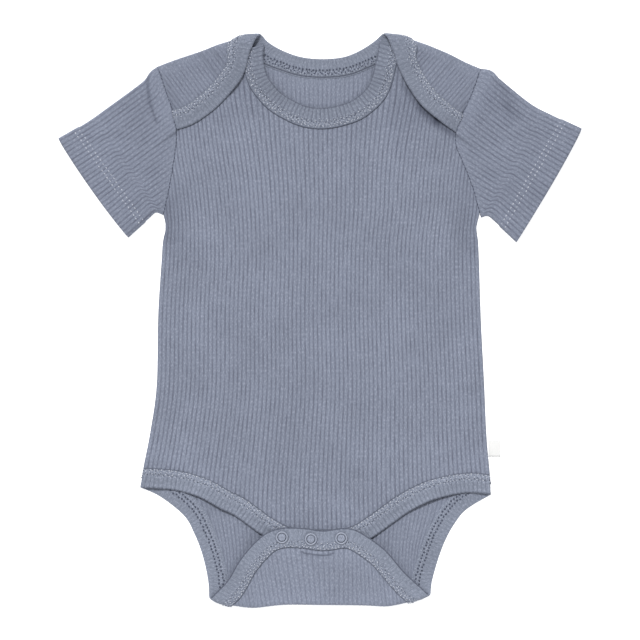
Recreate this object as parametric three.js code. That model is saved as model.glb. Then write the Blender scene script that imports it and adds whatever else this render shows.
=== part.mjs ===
// A baby's short-sleeve romper (bodysuit) in rib knit, laid flat on its back.
// Millimetres. +X is the wearer's left, +Y runs from the crotch to the neck, +Z is up, out of the chest.
// The origin is the middle of the outline, on the surface that the back lies on.
//
// Each cut piece is one closed wall: a sheet of points at mid thickness, moved out to both sides.
// A binding is folded round the edge of its panel, and is made from the panel's own edge points.
import * as THREE from "three";
import { mergeVertices } from "three/addons/utils/BufferGeometryUtils.js";

// ---------------------------------------------------------------- cloth and bindings
const CLOTH = 1.0; // thickness of the rib knit
const GAP = 0.3; // air between two pieces that are sewn or lie together
const LAYER = CLOTH + GAP;
const BAND = 14; // finished width of every binding
const BAND_BEND = 2; // how far a binding's bend stands out past the panel's edge
const BAND_HALF = 1.5 * CLOTH + GAP; // half the thickness of a bound edge
const PLAIN_HALF = CLOTH / 2;
const HEM_CLOTH = 1.9; // two layers at the sleeve hem
const HEM_TURN = 15; // depth of the sleeve hem
const SLEEVE_ROLL = 1.3; // radius of a sleeve's folded edge, at mid thickness

// How far a raised edge below keeps lifting the layer above it, and how gently that ends
const LIFT_REACH = 13;
const LIFT_END = 15;
const CHEST_AIR = 0.7; // slack between front and back, in the middle of the body
const CROTCH_AIR = 0.9; // room for the backs of the studs
const LAP_AIR = 0.2; // slack under the laps

// ---------------------------------------------------------------- snap fasteners
const SNAP = {
  ringRadius: 4.5,
  ringHole: 3.2,
  ringHeight: 0.8,
  socketRadius: 4.4,
  socketHole: 2.1,
  socketHeight: 1.1,
  studRadius: 4.2,
  studHeight: 0.5,
  postRadius: 1.7,
  postHeight: 1.2,
  backHeight: 0.6,
  sides: 24,
};
const SNAP_PLACES = [
  { x: -26.6, y: -152.6 },
  { x: -6.4, y: -153.4 },
  { x: 14.8, y: -152.8 },
];

const LABEL = { width: 8.5, height: 11.5, thick: 1.0, y: -90 };

const COLOURS = { knit: 0x8890a2, knitBand: 0x868ea0, snap: 0x8a92a6, label: 0xf4f4f2 };

// ---------------------------------------------------------------- outlines, columns: x, y
// "right" is the wearer's right (x < 0), "left" the wearer's left. Bound edges are given at the bend.
const RIGHT = {
  armholeTop: [[-113.5, 176], [-109, 163.5], [-104.2, 149], [-100.8, 133]],
  armholeBottom: [[-100.8, 133], [-101, 122], [-103.6, 104], [-107, 87], [-109.4, 75]],
  side: [
    [-109.4, 75], [-108.6, 66], [-110.2, 50], [-113, 5], [-114.3, -45], [-118.5, -78], [-125, -117],
  ],
  lapEdge: [
    [-42, 200.5], [-48.6, 188], [-51.6, 176.5], [-56.8, 166], [-72, 149], [-88, 137.5], [-100.8, 133],
  ],
  frontShoulder: [[-98.5, 148], [-100.5, 171], [-90, 176.5], [-79, 180.5], [-67, 184.5]],
  backLeg: [
    [-125, -117], [-111.4, -123], [-95, -136.6], [-87.6, -149], [-82, -163.5], [-78, -180], [-76.5, -194.6],
  ],
  sleeveTop: [[-113.5, 176], [-120.5, 172.6], [-126, 165.6], [-147.5, 150], [-163, 138], [-181.8, 126.7]],
  sleeveUnder: [[-109.4, 75], [-115, 75.6], [-120, 71.5], [-134.2, 58.8]],
};
const LEFT = {
  armholeTop: [[112.5, 176], [106.5, 158.5], [100.2, 144.5], [95.3, 131]],
  armholeBottom: [[95.3, 131], [95.4, 122], [100.4, 110], [106.6, 94], [112.2, 73]],
  side: [[112.2, 73], [110.4, 64], [111, 42], [112.6, 0], [114.4, -45], [116.4, -82], [119.5, -122]],
  lapEdge: [[45, 200.8], [50.2, 189.5], [54.6, 177], [61, 164], [71, 150], [84, 139], [95.3, 131]],
  frontShoulder: [[93.5, 146], [99, 170.5], [89.5, 175], [79, 179], [68, 183]],
  backLeg: [[119.5, -122], [103, -132.5], [94.4, -142], [88, -153.5], [83, -167], [79, -182], [76.5, -192]],
  sleeveTop: [[112.5, 176], [120, 173.6], [127, 167.6], [147.5, 151.6], [162, 144], [182.5, 133.7]],
  sleeveUnder: [[112.2, 73], [117.5, 72.8], [123.5, 68.2], [137.4, 55.3]],
};
const BACK_NECK = [
  [-42, 200.5], [-36, 192.5], [-25, 186.5], [-11, 183.4], [5, 182.7], [19, 184.8], [32, 191], [45, 200.8],
];
const FRONT_NECK = [
  [-40.5, 193], [-40, 184], [-36, 173.5], [-24, 157.5], [-11, 150], [2, 148.8],
  [15, 152], [29, 160.5], [36, 172], [38.6, 183], [41.5, 194],
];
const FRONT_LEG = [
  [-125, -117], [-103, -118.8], [-88, -123], [-66, -134], [-42, -150.4], [-27, -157.5], [-10, -160.3],
  [12, -160.3], [28, -157.6], [46.7, -147], [68, -131], [84, -123.4], [103, -120.8], [119.5, -122],
];
const FLAP = [
  [-76.5, -194.6], [-65, -182.3], [-55, -166], [-41, -151], [-28, -145.4], [-12, -145.2], [2, -147],
  [16, -145.3], [27, -147.6], [45, -160], [60, -177], [76.5, -192],
];
const CROTCH_FOLD = [
  [-63.3, -200.4], [-47, -201.1], [-25, -199.4], [0, -199], [30, -199.6], [48, -199.7], [63, -197.3],
];

// ---------------------------------------------------------------- how finely each edge is divided
const STEPS = {
  shoulder: 8,
  armholeTop: 3,
  armholeBottom: 5,
  side: 5,
  neck: 12,
  leg: 9,
  crotch: 10,
  lap: 3,
  flap: 3,
};
const FRONT_STEPS = { shoulder: 4, neck: 20 };
const FRONT_COLUMNS = 2 * FRONT_STEPS.shoulder + FRONT_STEPS.neck;
const SLEEVE_SHARES = [0, 0.18, 0.4, 0.62]; // rows from the armhole to the hem's turn
const ROLL = [-90, -45, 0, 45, 90].map((degrees) => (degrees * Math.PI) / 180);

// ---------------------------------------------------------------- small helpers
const flat = (rows) => rows.map(([x, y]) => new THREE.Vector2(x, y));
const curve = (rows, steps) => new THREE.SplineCurve(flat(rows)).getSpacedPoints(steps);
const smooth = (t) => THREE.MathUtils.smoothstep(t, 0, 1);
const mix = (a, b, t) => a.clone().lerp(b, t);
const turned = (d) => new THREE.Vector2(-d.y, d.x);
const raise = (p, z) => new THREE.Vector3(p.x, p.y, z);
const planOf = (p) => new THREE.Vector2(p.x, p.y);

// The point a given distance along a chain of points
function along(chain, distance) {
  let left = distance;
  for (let i = 0; i + 1 < chain.length; i++) {
    const step = chain[i].distanceTo(chain[i + 1]);
    if (left <= step) return mix(chain[i], chain[i + 1], left / step);
    left -= step;
  }
  return chain[chain.length - 1].clone();
}
const lengthOf = (chain) => chain.slice(1).reduce((sum, p, i) => sum + p.distanceTo(chain[i]), 0);

// The unit normal of a chain at each point, on its left-hand side or (side = -1) on its right
function normals(chain, side) {
  return chain.map((_, i) => {
    const before = chain[Math.max(i - 1, 0)];
    const after = chain[Math.min(i + 1, chain.length - 1)];
    return turned(after.clone().sub(before).normalize()).multiplyScalar(side);
  });
}

// A bound edge: from the bend line, the panel's edge and the binding's inner line.
// Where the binding ends at a fold or a seam, its end turns to run along that (towards).
function boundEdge(bend, side, { start, end, turnOver = 26 }) {
  const across = normals(bend, side);
  const total = lengthOf(bend);
  let travelled = 0;
  return bend.map((p, i) => {
    if (i) travelled += p.distanceTo(bend[i - 1]);
    const direction = across[i].clone();
    if (start) direction.lerp(start, smooth(1 - travelled / turnOver));
    if (end) direction.lerp(end, smooth(1 - (total - travelled) / turnOver));
    direction.normalize();
    return {
      edge: p.clone().addScaledVector(direction, BAND_BEND),
      inner: p.clone().addScaledVector(direction, BAND),
    };
  });
}

// ---------------------------------------------------------------- a sheet of cloth
class Sheet {
  constructor() {
    this.points = [];
    this.thick = [];
    this.index = new Map();
    this.faces = [];
  }
  add(p, thick = CLOTH) {
    const key = [p.x, p.y, p.z].map((n) => n.toFixed(3)).join(" ");
    if (!this.index.has(key)) {
      this.index.set(key, this.points.length);
      this.points.push(p.clone());
      this.thick.push(thick);
    }
    return this.index.get(key);
  }
  triangle(a, b, c) {
    if (a !== b && b !== c && c !== a) this.faces.push([a, b, c]);
  }
  // columns[k][r] are points, or null past the cloth's edge. Neighbouring columns are joined cell by cell.
  grid(columns, thick = () => CLOTH) {
    const ids = columns.map((column) => column.map((p, r) => (p ? this.add(p, thick(r)) : null)));
    for (let k = 0; k + 1 < ids.length; k++)
      for (let r = 0; r + 1 < ids[k].length; r++) {
        const [a, b, c, d] = [ids[k][r], ids[k][r + 1], ids[k + 1][r + 1], ids[k + 1][r]];
        if ([a, b, c, d].includes(null)) continue;
        this.triangle(a, b, c);
        this.triangle(a, c, d);
      }
    return this;
  }
  // Averaged normals, on the side that shows when the faces turn anticlockwise
  finish() {
    this.normal = this.points.map(() => new THREE.Vector3());
    for (const [a, b, c] of this.faces) {
      const n = this.points[b].clone().sub(this.points[a]).cross(this.points[c].clone().sub(this.points[a]));
      for (const i of [a, b, c]) this.normal[i].add(n);
    }
    this.normal.forEach((n) => n.normalize());
    return this;
  }
  normalAt(p) {
    return this.normal[this.add(p)];
  }
  // The closed wall: both sides, and a rim along every free edge
  wall() {
    const count = this.points.length;
    const positions = [];
    for (const side of [0.5, -0.5])
      this.points.forEach((p, i) => {
        const q = p.clone().addScaledVector(this.normal[i], side * this.thick[i]);
        positions.push(q.x, q.y, q.z);
      });
    const triangles = [];
    const edges = new Set(this.faces.flatMap(([a, b, c]) => [a + "_" + b, b + "_" + c, c + "_" + a]));
    for (const [a, b, c] of this.faces) {
      triangles.push(a, b, c, count + c, count + b, count + a);
      for (const [p, q] of [[a, b], [b, c], [c, a]])
        if (!edges.has(q + "_" + p)) triangles.push(q, p, count + p, q, count + p, count + q);
    }
    return geometry(positions, triangles);
  }
}

// A closed surface's volume has the sign of its facing, so one that came out inside out is turned
function geometry(positions, triangles) {
  const corner = (i) => new THREE.Vector3().fromArray(positions, 3 * i);
  let volume = 0;
  for (let i = 0; i < triangles.length; i += 3)
    volume += corner(triangles[i]).dot(corner(triangles[i + 1]).cross(corner(triangles[i + 2])));
  if (volume < 0) triangles.reverse();
  const made = new THREE.BufferGeometry();
  made.setAttribute("position", new THREE.Float32BufferAttribute(positions, 3));
  made.setIndex(triangles);
  made.computeVertexNormals();
  return made;
}

// A binding: a U section round the panel's edge, swept over its stations {edge, inner} on the sheet.
// Its cells are cut along the same diagonal as the panel's, which starts at the edge or at the inner line.
function binding(stations, sheet, diagonal) {
  const outer = BAND_HALF;
  const inside = PLAIN_HALF + GAP;
  const section = ({ edge, inner }) => {
    const nEdge = sheet.normalAt(edge);
    const nInner = sheet.normalAt(inner);
    const out = edge.clone().sub(inner).projectOnPlane(nEdge).normalize();
    const atInner = (up) => inner.clone().addScaledVector(nInner, up);
    const atEdge = (up, past = 0) => edge.clone().addScaledVector(nEdge, up).addScaledVector(out, past);
    const outside = [
      atInner(outer),
      atEdge(outer),
      atEdge(0.62 * outer, 0.75 * BAND_BEND),
      atEdge(0, BAND_BEND),
      atEdge(-0.62 * outer, 0.75 * BAND_BEND),
      atEdge(-outer),
      atInner(-outer),
    ];
    const lining = [
      atInner(inside),
      atEdge(inside),
      atEdge(0.6 * inside, 0.4 * BAND_BEND),
      atEdge(0, 0.5 * BAND_BEND),
      atEdge(-0.6 * inside, 0.4 * BAND_BEND),
      atEdge(-inside),
      atInner(-inside),
    ];
    return [...outside, ...lining.reverse()];
  };
  const roles = ["inner", ...Array(5).fill("edge"), "inner", "inner", ...Array(5).fill("edge"), "inner"];
  const rings = stations.map(section);
  const size = rings[0].length;
  const positions = rings.flat().flatMap((p) => [p.x, p.y, p.z]);
  const triangles = [];
  for (let s = 0; s + 1 < rings.length; s++)
    for (let i = 0; i < size; i++) {
      const j = (i + 1) % size;
      const [a, b, c, d] = [s * size + i, s * size + j, (s + 1) * size + j, (s + 1) * size + i];
      triangles.push(...(roles[i] === diagonal ? [a, b, c, a, c, d] : [a, b, d, b, c, d]));
    }
  for (const [ring, flip] of [[0, true], [rings.length - 1, false]])
    for (let i = 0; i < size / 2 - 1; i++) {
      const [a, b] = [ring * size + i, ring * size + i + 1];
      const [d, c] = [(ring + 1) * size - 1 - i, (ring + 1) * size - 2 - i];
      triangles.push(...(flip ? [a, c, b, a, d, c] : [a, b, c, a, c, d]));
    }
  return geometry(positions, triangles);
}

// ---------------------------------------------------------------- cloth lifted by what lies under it
const distanceToChain = (chain, p) => {
  const at = raise(p, 0);
  let best = Infinity;
  for (let i = 0; i + 1 < chain.length; i++) {
    const line = new THREE.Line3(raise(chain[i], 0), raise(chain[i + 1], 0));
    const nearest = line.closestPointToPoint(at, true, new THREE.Vector3());
    best = Math.min(best, nearest.distanceTo(at));
  }
  return best;
};
// 1 on a band of cloth, falling to 0 beside it
const over = (chains, p) => {
  const distance = Math.min(...chains.map((chain) => distanceToChain(chain, p)));
  return 1 - smooth((distance - LIFT_REACH) / LIFT_END);
};

// ---------------------------------------------------------------- lines in plan
const unit = (from, to) => to.clone().sub(from).normalize();

function sideLines(table, sign) {
  const armhole = [
    ...curve(table.armholeTop, STEPS.armholeTop),
    ...curve(table.armholeBottom, STEPS.armholeBottom).slice(1),
  ];
  const shoulder = armhole[0];
  const neckPoint = flat(table.lapEdge)[0];
  const side = curve(table.side, 24);
  const upSide = unit(side[24], side[22]);
  const shoulderward = unit(neckPoint, shoulder);
  const armholeTop = armhole.slice(0, STEPS.armholeTop + 1);
  const foldward = new THREE.Vector2(-sign * 0.92, -0.36);
  return {
    armhole,
    armholeTop,
    shoulder,
    neckPoint,
    side,
    shoulderward,
    foldward,
    upSide,
    inward: turned(shoulderward).multiplyScalar(-sign),
    lapEdge: boundEdge(curve(table.lapEdge, STEPS.shoulder), sign, {
      start: shoulderward,
      end: unit(armholeTop[STEPS.armholeTop], armholeTop[STEPS.armholeTop - 1]),
    }),
    backLeg: boundEdge(curve(table.backLeg, STEPS.leg), -sign, { start: upSide, end: foldward }),
    legEnd: flat(table.backLeg).at(-1),
    frontShoulder: flat(table.frontShoulder),
    sleeveTop: curve(table.sleeveTop, 16),
    sleeveUnder: curve(table.sleeveUnder, 8),
  };
}
const right = sideLines(RIGHT, -1);
const left = sideLines(LEFT, 1);

const neckEnds = { start: right.shoulderward, end: left.shoulderward };
const neck = boundEdge(curve(BACK_NECK, STEPS.neck), -1, neckEnds);
const frontNeck = boundEdge(curve(FRONT_NECK, FRONT_STEPS.neck), -1, neckEnds);
const frontLeg = boundEdge(curve(FRONT_LEG, FRONT_COLUMNS), 1, { start: right.upSide, end: left.upSide });
const flap = boundEdge(curve(FLAP, STEPS.crotch), -1, { start: right.foldward, end: left.foldward });
const crotchFold = curve(CROTCH_FOLD, STEPS.crotch);
const middleOf = (stations) => stations.map(({ edge, inner }) => mix(edge, inner, 0.5));

// ---------------------------------------------------------------- heights of the layers
const backBands = [neck, right.backLeg, left.backLeg].map(middleOf);
const frontNeckBand = [middleOf(frontNeck)];
const backTop = (p) => CLOTH + 2 * LAYER * over(backBands, p);
const air = (p) =>
  Math.max(
    CHEST_AIR * Math.max(0, 1 - (p.x / 95) ** 2),
    CROTCH_AIR * smooth((55 - Math.abs(p.x)) / 20) * smooth((-115 - p.y) / 20),
  );
const frontMiddle = (p, half = PLAIN_HALF) => backTop(p) + GAP + half + air(p);
const frontTop = (p) => frontMiddle(p) + PLAIN_HALF + 2 * LAYER * over(frontNeckBand, p);
const lapMiddle = (p, half = PLAIN_HALF) => frontTop(p) + GAP + LAP_AIR + half;

const placket = frontMiddle(new THREE.Vector2(0, SNAP_PLACES[1].y), BAND_HALF);
const frontBandTop = placket + BAND_HALF;
const studBase = frontBandTop + GAP;
const socketBase = studBase + SNAP.studHeight + GAP;
const flapPlacket = socketBase + SNAP.socketHeight + GAP + BAND_HALF;
const FLAP_LOW = 3.5; // the flap's middle height just above the crotch fold
const flapMiddle = (p) => {
  const low = Math.max(FLAP_LOW, backTop(p) + GAP + BAND_HALF);
  return THREE.MathUtils.lerp(low, flapPlacket, smooth((p.y + 197) / 36));
};

// The cloth turning over a fold: five points from below to above. fold is on the outline.
function roll(fold, inward, half, low, high) {
  const radius = (high - low) / 2;
  const centre = fold.clone().addScaledVector(inward, radius + half);
  return ROLL.map((angle) => {
    const p = centre.clone().addScaledVector(inward, -radius * Math.cos(angle));
    return raise(p, (low + high) / 2 + radius * Math.sin(angle));
  });
}

// ---------------------------------------------------------------- back panel, with both laps and the flap
// Lying on the surface, the cloth's middle is half its own thickness up
const LOW_PLAIN = PLAIN_HALF;
const LOW_BOUND = BAND_HALF;
const FOLD_EASE = 20; // how far from a binding a folded edge is still thicker
const PAST_FOLD = 2; // how far past a fold's roll a binding keeps

function shoulderFolds({ neckPoint, shoulder, shoulderward, inward }) {
  const start = neckPoint.clone().addScaledVector(shoulderward, BAND);
  const folds = [];
  for (let j = 0; j <= STEPS.shoulder; j++) {
    const fold = mix(shoulder, start, j / STEPS.shoulder);
    const half = PLAIN_HALF + LAYER * (1 - smooth(fold.distanceTo(start) / FOLD_EASE));
    folds.push(roll(fold, inward, half, half, lapMiddle(fold, half)));
  }
  const edge = neckPoint.clone().addScaledVector(shoulderward, BAND_BEND);
  folds.push(roll(edge, inward, BAND_HALF, LOW_BOUND, lapMiddle(start, BAND_HALF)));
  return folds;
}

// A lap's columns, from its bound edge back to the fold. Column 0 runs along the armhole.
function lapColumns(half, folds) {
  const stations = [...half.lapEdge].reverse();
  // Near the neck the binding starts where the cloth has finished turning over the fold
  const pastFold = (p, fold) => {
    const short = planOf(fold.at(-1)).sub(p).dot(half.inward) + PAST_FOLD;
    return p.clone().addScaledVector(half.inward, Math.max(0, short));
  };
  return stations.map((station, j) => {
    const fold = folds[j];
    const last = fold.at(-1);
    const [edge, inner] = [pastFold(station.edge, folds.at(-1)), pastFold(station.inner, fold)];
    const down = [...fold].reverse();
    if (j === STEPS.shoulder) return [folds[j + 1].at(-1), ...Array(STEPS.lap).fill(last), ...down];
    const start = planOf(last);
    const rise = (p, t) => raise(p, THREE.MathUtils.lerp(last.z, lapMiddle(inner, BAND_HALF), smooth(t)));
    const between = [];
    for (let r = STEPS.lap - 1; r >= 1; r--) {
      const t = r / STEPS.lap;
      const plan = j ? mix(start, inner, t) : along(half.armholeTop, (lengthOf(half.armholeTop) - BAND) * t);
      between.push(raise(plan, Math.max(rise(plan, t).z, lapMiddle(plan))));
    }
    const top = [edge, inner].map((p) => raise(p, lapMiddle(p, BAND_HALF)));
    return [...top, ...between, ...down];
  });
}

const rightFolds = shoulderFolds(right);
const leftFolds = shoulderFolds(left);

// The crotch fold: a roll at each of its points, and one at the edge of the binding at each end
function crotchRoll(p, fromBand) {
  const half = PLAIN_HALF + LAYER * (1 - smooth(fromBand / FOLD_EASE));
  return roll(p, new THREE.Vector2(0, 1), half, half, flapMiddle(p));
}
const crotchEdges = [right, left].map(({ legEnd, foldward }) =>
  crotchRoll(legEnd.clone().addScaledVector(foldward, BAND_BEND), 0));
const crotchRolls = crotchFold.map((p) =>
  crotchRoll(p, Math.min(p.distanceTo(crotchFold[0]), p.distanceTo(crotchFold.at(-1)))));

// The columns of a body panel, from its top edge to its bottom edge. The first and the last follow the
// chains of points down its two sides. A bound end carries its edge point and lifts the cloth beside it.
function bodyColumns({ tops, bottoms, sides, middle }) {
  const last = tops.length - 1;
  const rows = sides[0].length - 1;
  const shares = sides.map((side) => side.map((_, r) => lengthOf(side.slice(0, r + 1)) / lengthOf(side)));
  const straight = (k, t) => mix(planOf(tops[k].at), planOf(bottoms[k].at), t);
  const plan = (k, r) => {
    const across = k / last;
    const p = straight(k, THREE.MathUtils.lerp(shares[0][r], shares[1][r], across));
    p.addScaledVector(sides[0][r].clone().sub(straight(0, shares[0][r])), (1 - across) ** 3);
    return p.addScaledVector(sides[1][r].clone().sub(straight(last, shares[1][r])), across ** 3);
  };
  return tops.map((top, k) => {
    const bottom = bottoms[k];
    const column = [top.edge || null, top.at];
    for (let r = 1; r < rows; r++) {
      const p = plan(k, r);
      const near = ({ at, edge }) => (edge ? 1 - smooth(p.distanceTo(planOf(at)) / LIFT_END) : 0);
      column.push(raise(p, middle(p) + LAYER * Math.max(near(top), near(bottom))));
    }
    column.push(bottom.at, bottom.edge || null);
    return column;
  });
}
// The side seam below the armhole, down to the leg binding's inner line
const seamBelow = (half) => {
  const reach = lengthOf(half.side) - BAND;
  return Array.from({ length: STEPS.side }, (_, i) => along(half.side, (reach * (i + 1)) / STEPS.side));
};
const lowBound = (p) => raise(p, LOW_BOUND);

function backPanel() {
  const sheet = new Sheet();
  const shoulder = (folds) => folds.slice(0, -2).map((fold) => ({ at: fold[0] }));
  const neckEnd = (folds) => ({ at: folds.at(-2)[0], edge: folds.at(-1)[0] });
  const bound = ({ edge, inner }) => ({ at: lowBound(inner), edge: lowBound(edge) });
  const tops = [
    ...shoulder(rightFolds), neckEnd(rightFolds),
    ...neck.slice(1, -1).map(bound),
    neckEnd(leftFolds), ...shoulder(leftFolds).reverse(),
  ];
  const leg = (half) => half.backLeg.slice(0, -1).map(bound);
  const bottoms = [
    ...leg(right), ...crotchRolls.map((fold, k) => ({
      at: fold[0],
      edge: { 0: crotchEdges[0][0], [STEPS.crotch]: crotchEdges[1][0] }[k],
    })),
    ...leg(left).reverse(),
  ];
  const sides = [right, left].map((half) => [...half.armhole, ...seamBelow(half)]);
  sheet.grid(bodyColumns({ tops, bottoms, sides, middle: () => LOW_PLAIN }));

  const lapRight = lapColumns(right, rightFolds);
  const lapLeft = lapColumns(left, leftFolds).reverse();
  sheet.grid(lapRight).grid(lapLeft);
  const reversed = (folds) => folds.slice(-2).map((fold) => [...fold].reverse());
  sheet.grid(reversed(rightFolds)).grid(reversed(leftFolds).reverse());

  const flapColumns = crotchRolls.map((fold, k) => {
    const last = fold.at(-1);
    if (k === 0) return [...fold, ...Array(STEPS.flap).fill(last), crotchEdges[0].at(-1)];
    if (k === STEPS.crotch) return [...fold, ...Array(STEPS.flap).fill(last), crotchEdges[1].at(-1)];
    const { edge, inner } = flap[k];
    const between = [];
    for (let r = 1; r < STEPS.flap; r++) {
      const p = mix(planOf(last), inner, r / STEPS.flap);
      between.push(raise(p, flapMiddle(p)));
    }
    return [...fold, ...between, raise(inner, flapMiddle(inner)), raise(edge, flapMiddle(inner))];
  });
  sheet.grid(flapColumns);
  sheet.grid([crotchEdges[0], crotchRolls[0]]).grid([crotchRolls.at(-1), crotchEdges[1]]);
  sheet.finish();

  const lapStations = (columns) => columns.map(([edge, inner]) => ({ edge, inner }));
  const foldStations = (edgeRoll, innerRoll) => edgeRoll.map((edge, i) => ({ edge, inner: innerRoll[i] }));
  const neckStations = [
    ...lapStations(lapRight).slice(0, -1),
    ...foldStations(rightFolds.at(-1), rightFolds.at(-2)).reverse(),
    ...neck.slice(1, -1).map(({ edge, inner }) => ({ edge: lowBound(edge), inner: lowBound(inner) })),
    ...foldStations(leftFolds.at(-1), leftFolds.at(-2)),
    ...lapStations(lapLeft).slice(1),
  ];
  const legStations = (half) => leg(half).map(({ at, edge }) => ({ edge, inner: at }));
  const flapEnd = (column) => ({ edge: column.at(-1), inner: column.at(-2) });
  const flapStations = flapColumns.slice(1, -1).map(flapEnd);
  const bindingStations = [
    ...legStations(right), ...foldStations(crotchEdges[0], crotchRolls[0]), ...flapStations,
    ...foldStations(crotchEdges[1], crotchRolls.at(-1)).reverse(), ...legStations(left).reverse(),
  ];
  return {
    wall: sheet.wall(),
    neckBinding: binding(neckStations, sheet, "edge"),
    legBinding: binding(bindingStations, sheet, "inner"),
  };
}

// ---------------------------------------------------------------- front panel
function frontPanel() {
  const sheet = new Sheet();
  const plain = (p) => ({ at: raise(p, frontMiddle(p)) });
  const bound = ({ edge, inner }) => ({
    at: raise(inner, frontMiddle(inner, BAND_HALF)),
    edge: raise(edge, frontMiddle(edge, BAND_HALF)),
  });
  const shoulder = (half) => half.frontShoulder.slice(1).map(plain);
  const tops = [...shoulder(right), ...frontNeck.map(bound), ...shoulder(left).reverse()];
  const bottoms = frontLeg.map(bound);
  const sides = [right, left].map((half) => [
    half.frontShoulder[1], half.frontShoulder[0], ...half.armhole.slice(STEPS.armholeTop), ...seamBelow(half),
  ]);
  sheet.grid(bodyColumns({ tops, bottoms, sides, middle: frontMiddle })).finish();
  const stations = (ends) => ends.filter(({ edge }) => edge).map(({ at, edge }) => ({ edge, inner: at }));
  return {
    wall: sheet.wall(),
    neckBinding: binding(stations(tops), sheet, "edge"),
    legBinding: binding(stations(bottoms), sheet, "inner"),
  };
}

// ---------------------------------------------------------------- sleeves: flattened tubes, hems turned in
function sleeve(half) {
  const outward = normals(half.armhole, half === right ? -1 : 1);
  const armhole = half.armhole.map((p, i) => p.clone().addScaledVector(outward[i], 0.45));
  const hemTop = half.sleeveTop.at(-1);
  const hemUnder = half.sleeveUnder.at(-1);
  const length = hemTop.distanceTo(half.armhole[0]);
  const turn = 1 - HEM_TURN / length;
  const shares = [...SLEEVE_SHARES, turn - 0.02, turn, 1];
  const thick = (r) => (shares[r] >= turn ? HEM_CLOTH : CLOTH);
  const last = half.armhole.length - 1;
  const rings = shares.map((t, r) => {
    const line = (j) => mix(armhole[j], mix(hemTop, hemUnder, j / last), t);
    const edges = [half.sleeveTop, half.sleeveUnder].map((chain) => along(chain, lengthOf(chain) * t));
    edges[0].add(armhole[0].clone().sub(half.armhole[0]).multiplyScalar(1 - t));
    edges[1].add(armhole[last].clone().sub(half.armhole[last]).multiplyScalar(1 - t));
    const plan = armhole.map((_, j) => {
      const p = line(j);
      p.addScaledVector(edges[0].clone().sub(line(0)), 1 - j / last);
      return p.addScaledVector(edges[1].clone().sub(line(last)), j / last);
    });
    const across = unit(plan[0], plan[last]);
    const lowZ = thick(r) / 2;
    const free = lowZ + 2 * SLEEVE_ROLL;
    const atSeam = (j) => (j < STEPS.armholeTop ? lapMiddle(half.armhole[j]) : frontMiddle(half.armhole[j]));
    const high = (j) => THREE.MathUtils.lerp(atSeam(j), free, smooth(t / 0.3));
    const rollAt = (p, inward, z) => roll(p, inward, thick(r) / 2, lowZ, z);
    const top = rollAt(plan[0], across, high(0));
    const under = rollAt(plan[last], across.clone().negate(), high(last));
    const inside = plan.slice(1, -1);
    return [
      ...top.slice().reverse(), ...inside.map((p) => raise(p, lowZ)),
      ...under, ...inside.map((p, i) => raise(p, high(i + 1))).reverse(), top.at(-1),
    ];
  });
  const columns = rings[0].map((_, k) => rings.map((ring) => ring[k]));
  return new Sheet().grid(columns, thick).finish().wall();
}

// ---------------------------------------------------------------- snap fasteners and label
// A turned part: its half section is given as radius and height pairs, from the base up
function turnedPart(rows) {
  const made = new THREE.LatheGeometry(flat(rows), SNAP.sides);
  made.rotateX(Math.PI / 2);
  made.deleteAttribute("normal");
  made.deleteAttribute("uv");
  return mergeVertices(made, 1e-3);
}
const RIM = 0.25; // rounding of the fasteners' rims
function ring(outer, hole, height) {
  return turnedPart([
    [hole, RIM],
    [hole + RIM, 0],
    [outer - RIM, 0],
    [outer, RIM],
    [outer, height - RIM],
    [outer - RIM, height],
    [hole + RIM, height],
    [hole, height - RIM],
    [hole, RIM],
  ]);
}
function stud() {
  const { studRadius, studHeight, postRadius, postHeight } = SNAP;
  const top = studHeight + postHeight;
  return turnedPart([
    [0, 0],
    [studRadius - RIM, 0],
    [studRadius, studHeight / 2],
    [studRadius - RIM, studHeight],
    [postRadius - 0.2, studHeight],
    [postRadius, top - 0.4],
    [postRadius - 0.3, top],
    [0, top],
  ]);
}

function sideLabel() {
  const seam = along(left.side, lengthOf(left.side) * 0.87);
  const radius = LABEL.thick / 2;
  const shape = new THREE.Shape();
  shape.moveTo(0, 0);
  shape.lineTo(LABEL.width - radius, 0);
  shape.absarc(LABEL.width - radius, radius, radius, -Math.PI / 2, Math.PI / 2, false);
  shape.lineTo(0, LABEL.thick);
  shape.closePath();
  const made = new THREE.ExtrudeGeometry(shape, {
    depth: LABEL.height,
    bevelEnabled: false,
    curveSegments: 6,
  });
  made.rotateX(Math.PI / 2);
  made.translate(seam.x + 0.6, LABEL.y + LABEL.height / 2, 0.65);
  return made;
}

// ---------------------------------------------------------------- the romper
const cloth = (colour) => new THREE.MeshStandardMaterial({ color: colour, roughness: 0.95, metalness: 0 });
const knit = cloth(COLOURS.knit);
const knitBand = cloth(COLOURS.knitBand);
const white = cloth(COLOURS.label);
const lacquer = new THREE.MeshStandardMaterial({ color: COLOURS.snap, roughness: 0.45, metalness: 0.1 });

const romper = new THREE.Group();
function piece(name, shape, material) {
  const mesh = new THREE.Mesh(shape, material);
  mesh.name = name;
  romper.add(mesh);
  return mesh;
}

const back = backPanel();
const front = frontPanel();
piece("back_panel", back.wall, knit);
piece("neck_binding_back", back.neckBinding, knitBand);
piece("leg_binding_back", back.legBinding, knitBand);
piece("front_panel", front.wall, knit);
piece("neck_binding_front", front.neckBinding, knitBand);
piece("leg_binding_front", front.legBinding, knitBand);
piece("sleeve_right", sleeve(right), knit);
piece("sleeve_left", sleeve(left), knit);
piece("side_label", sideLabel(), white);

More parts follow.
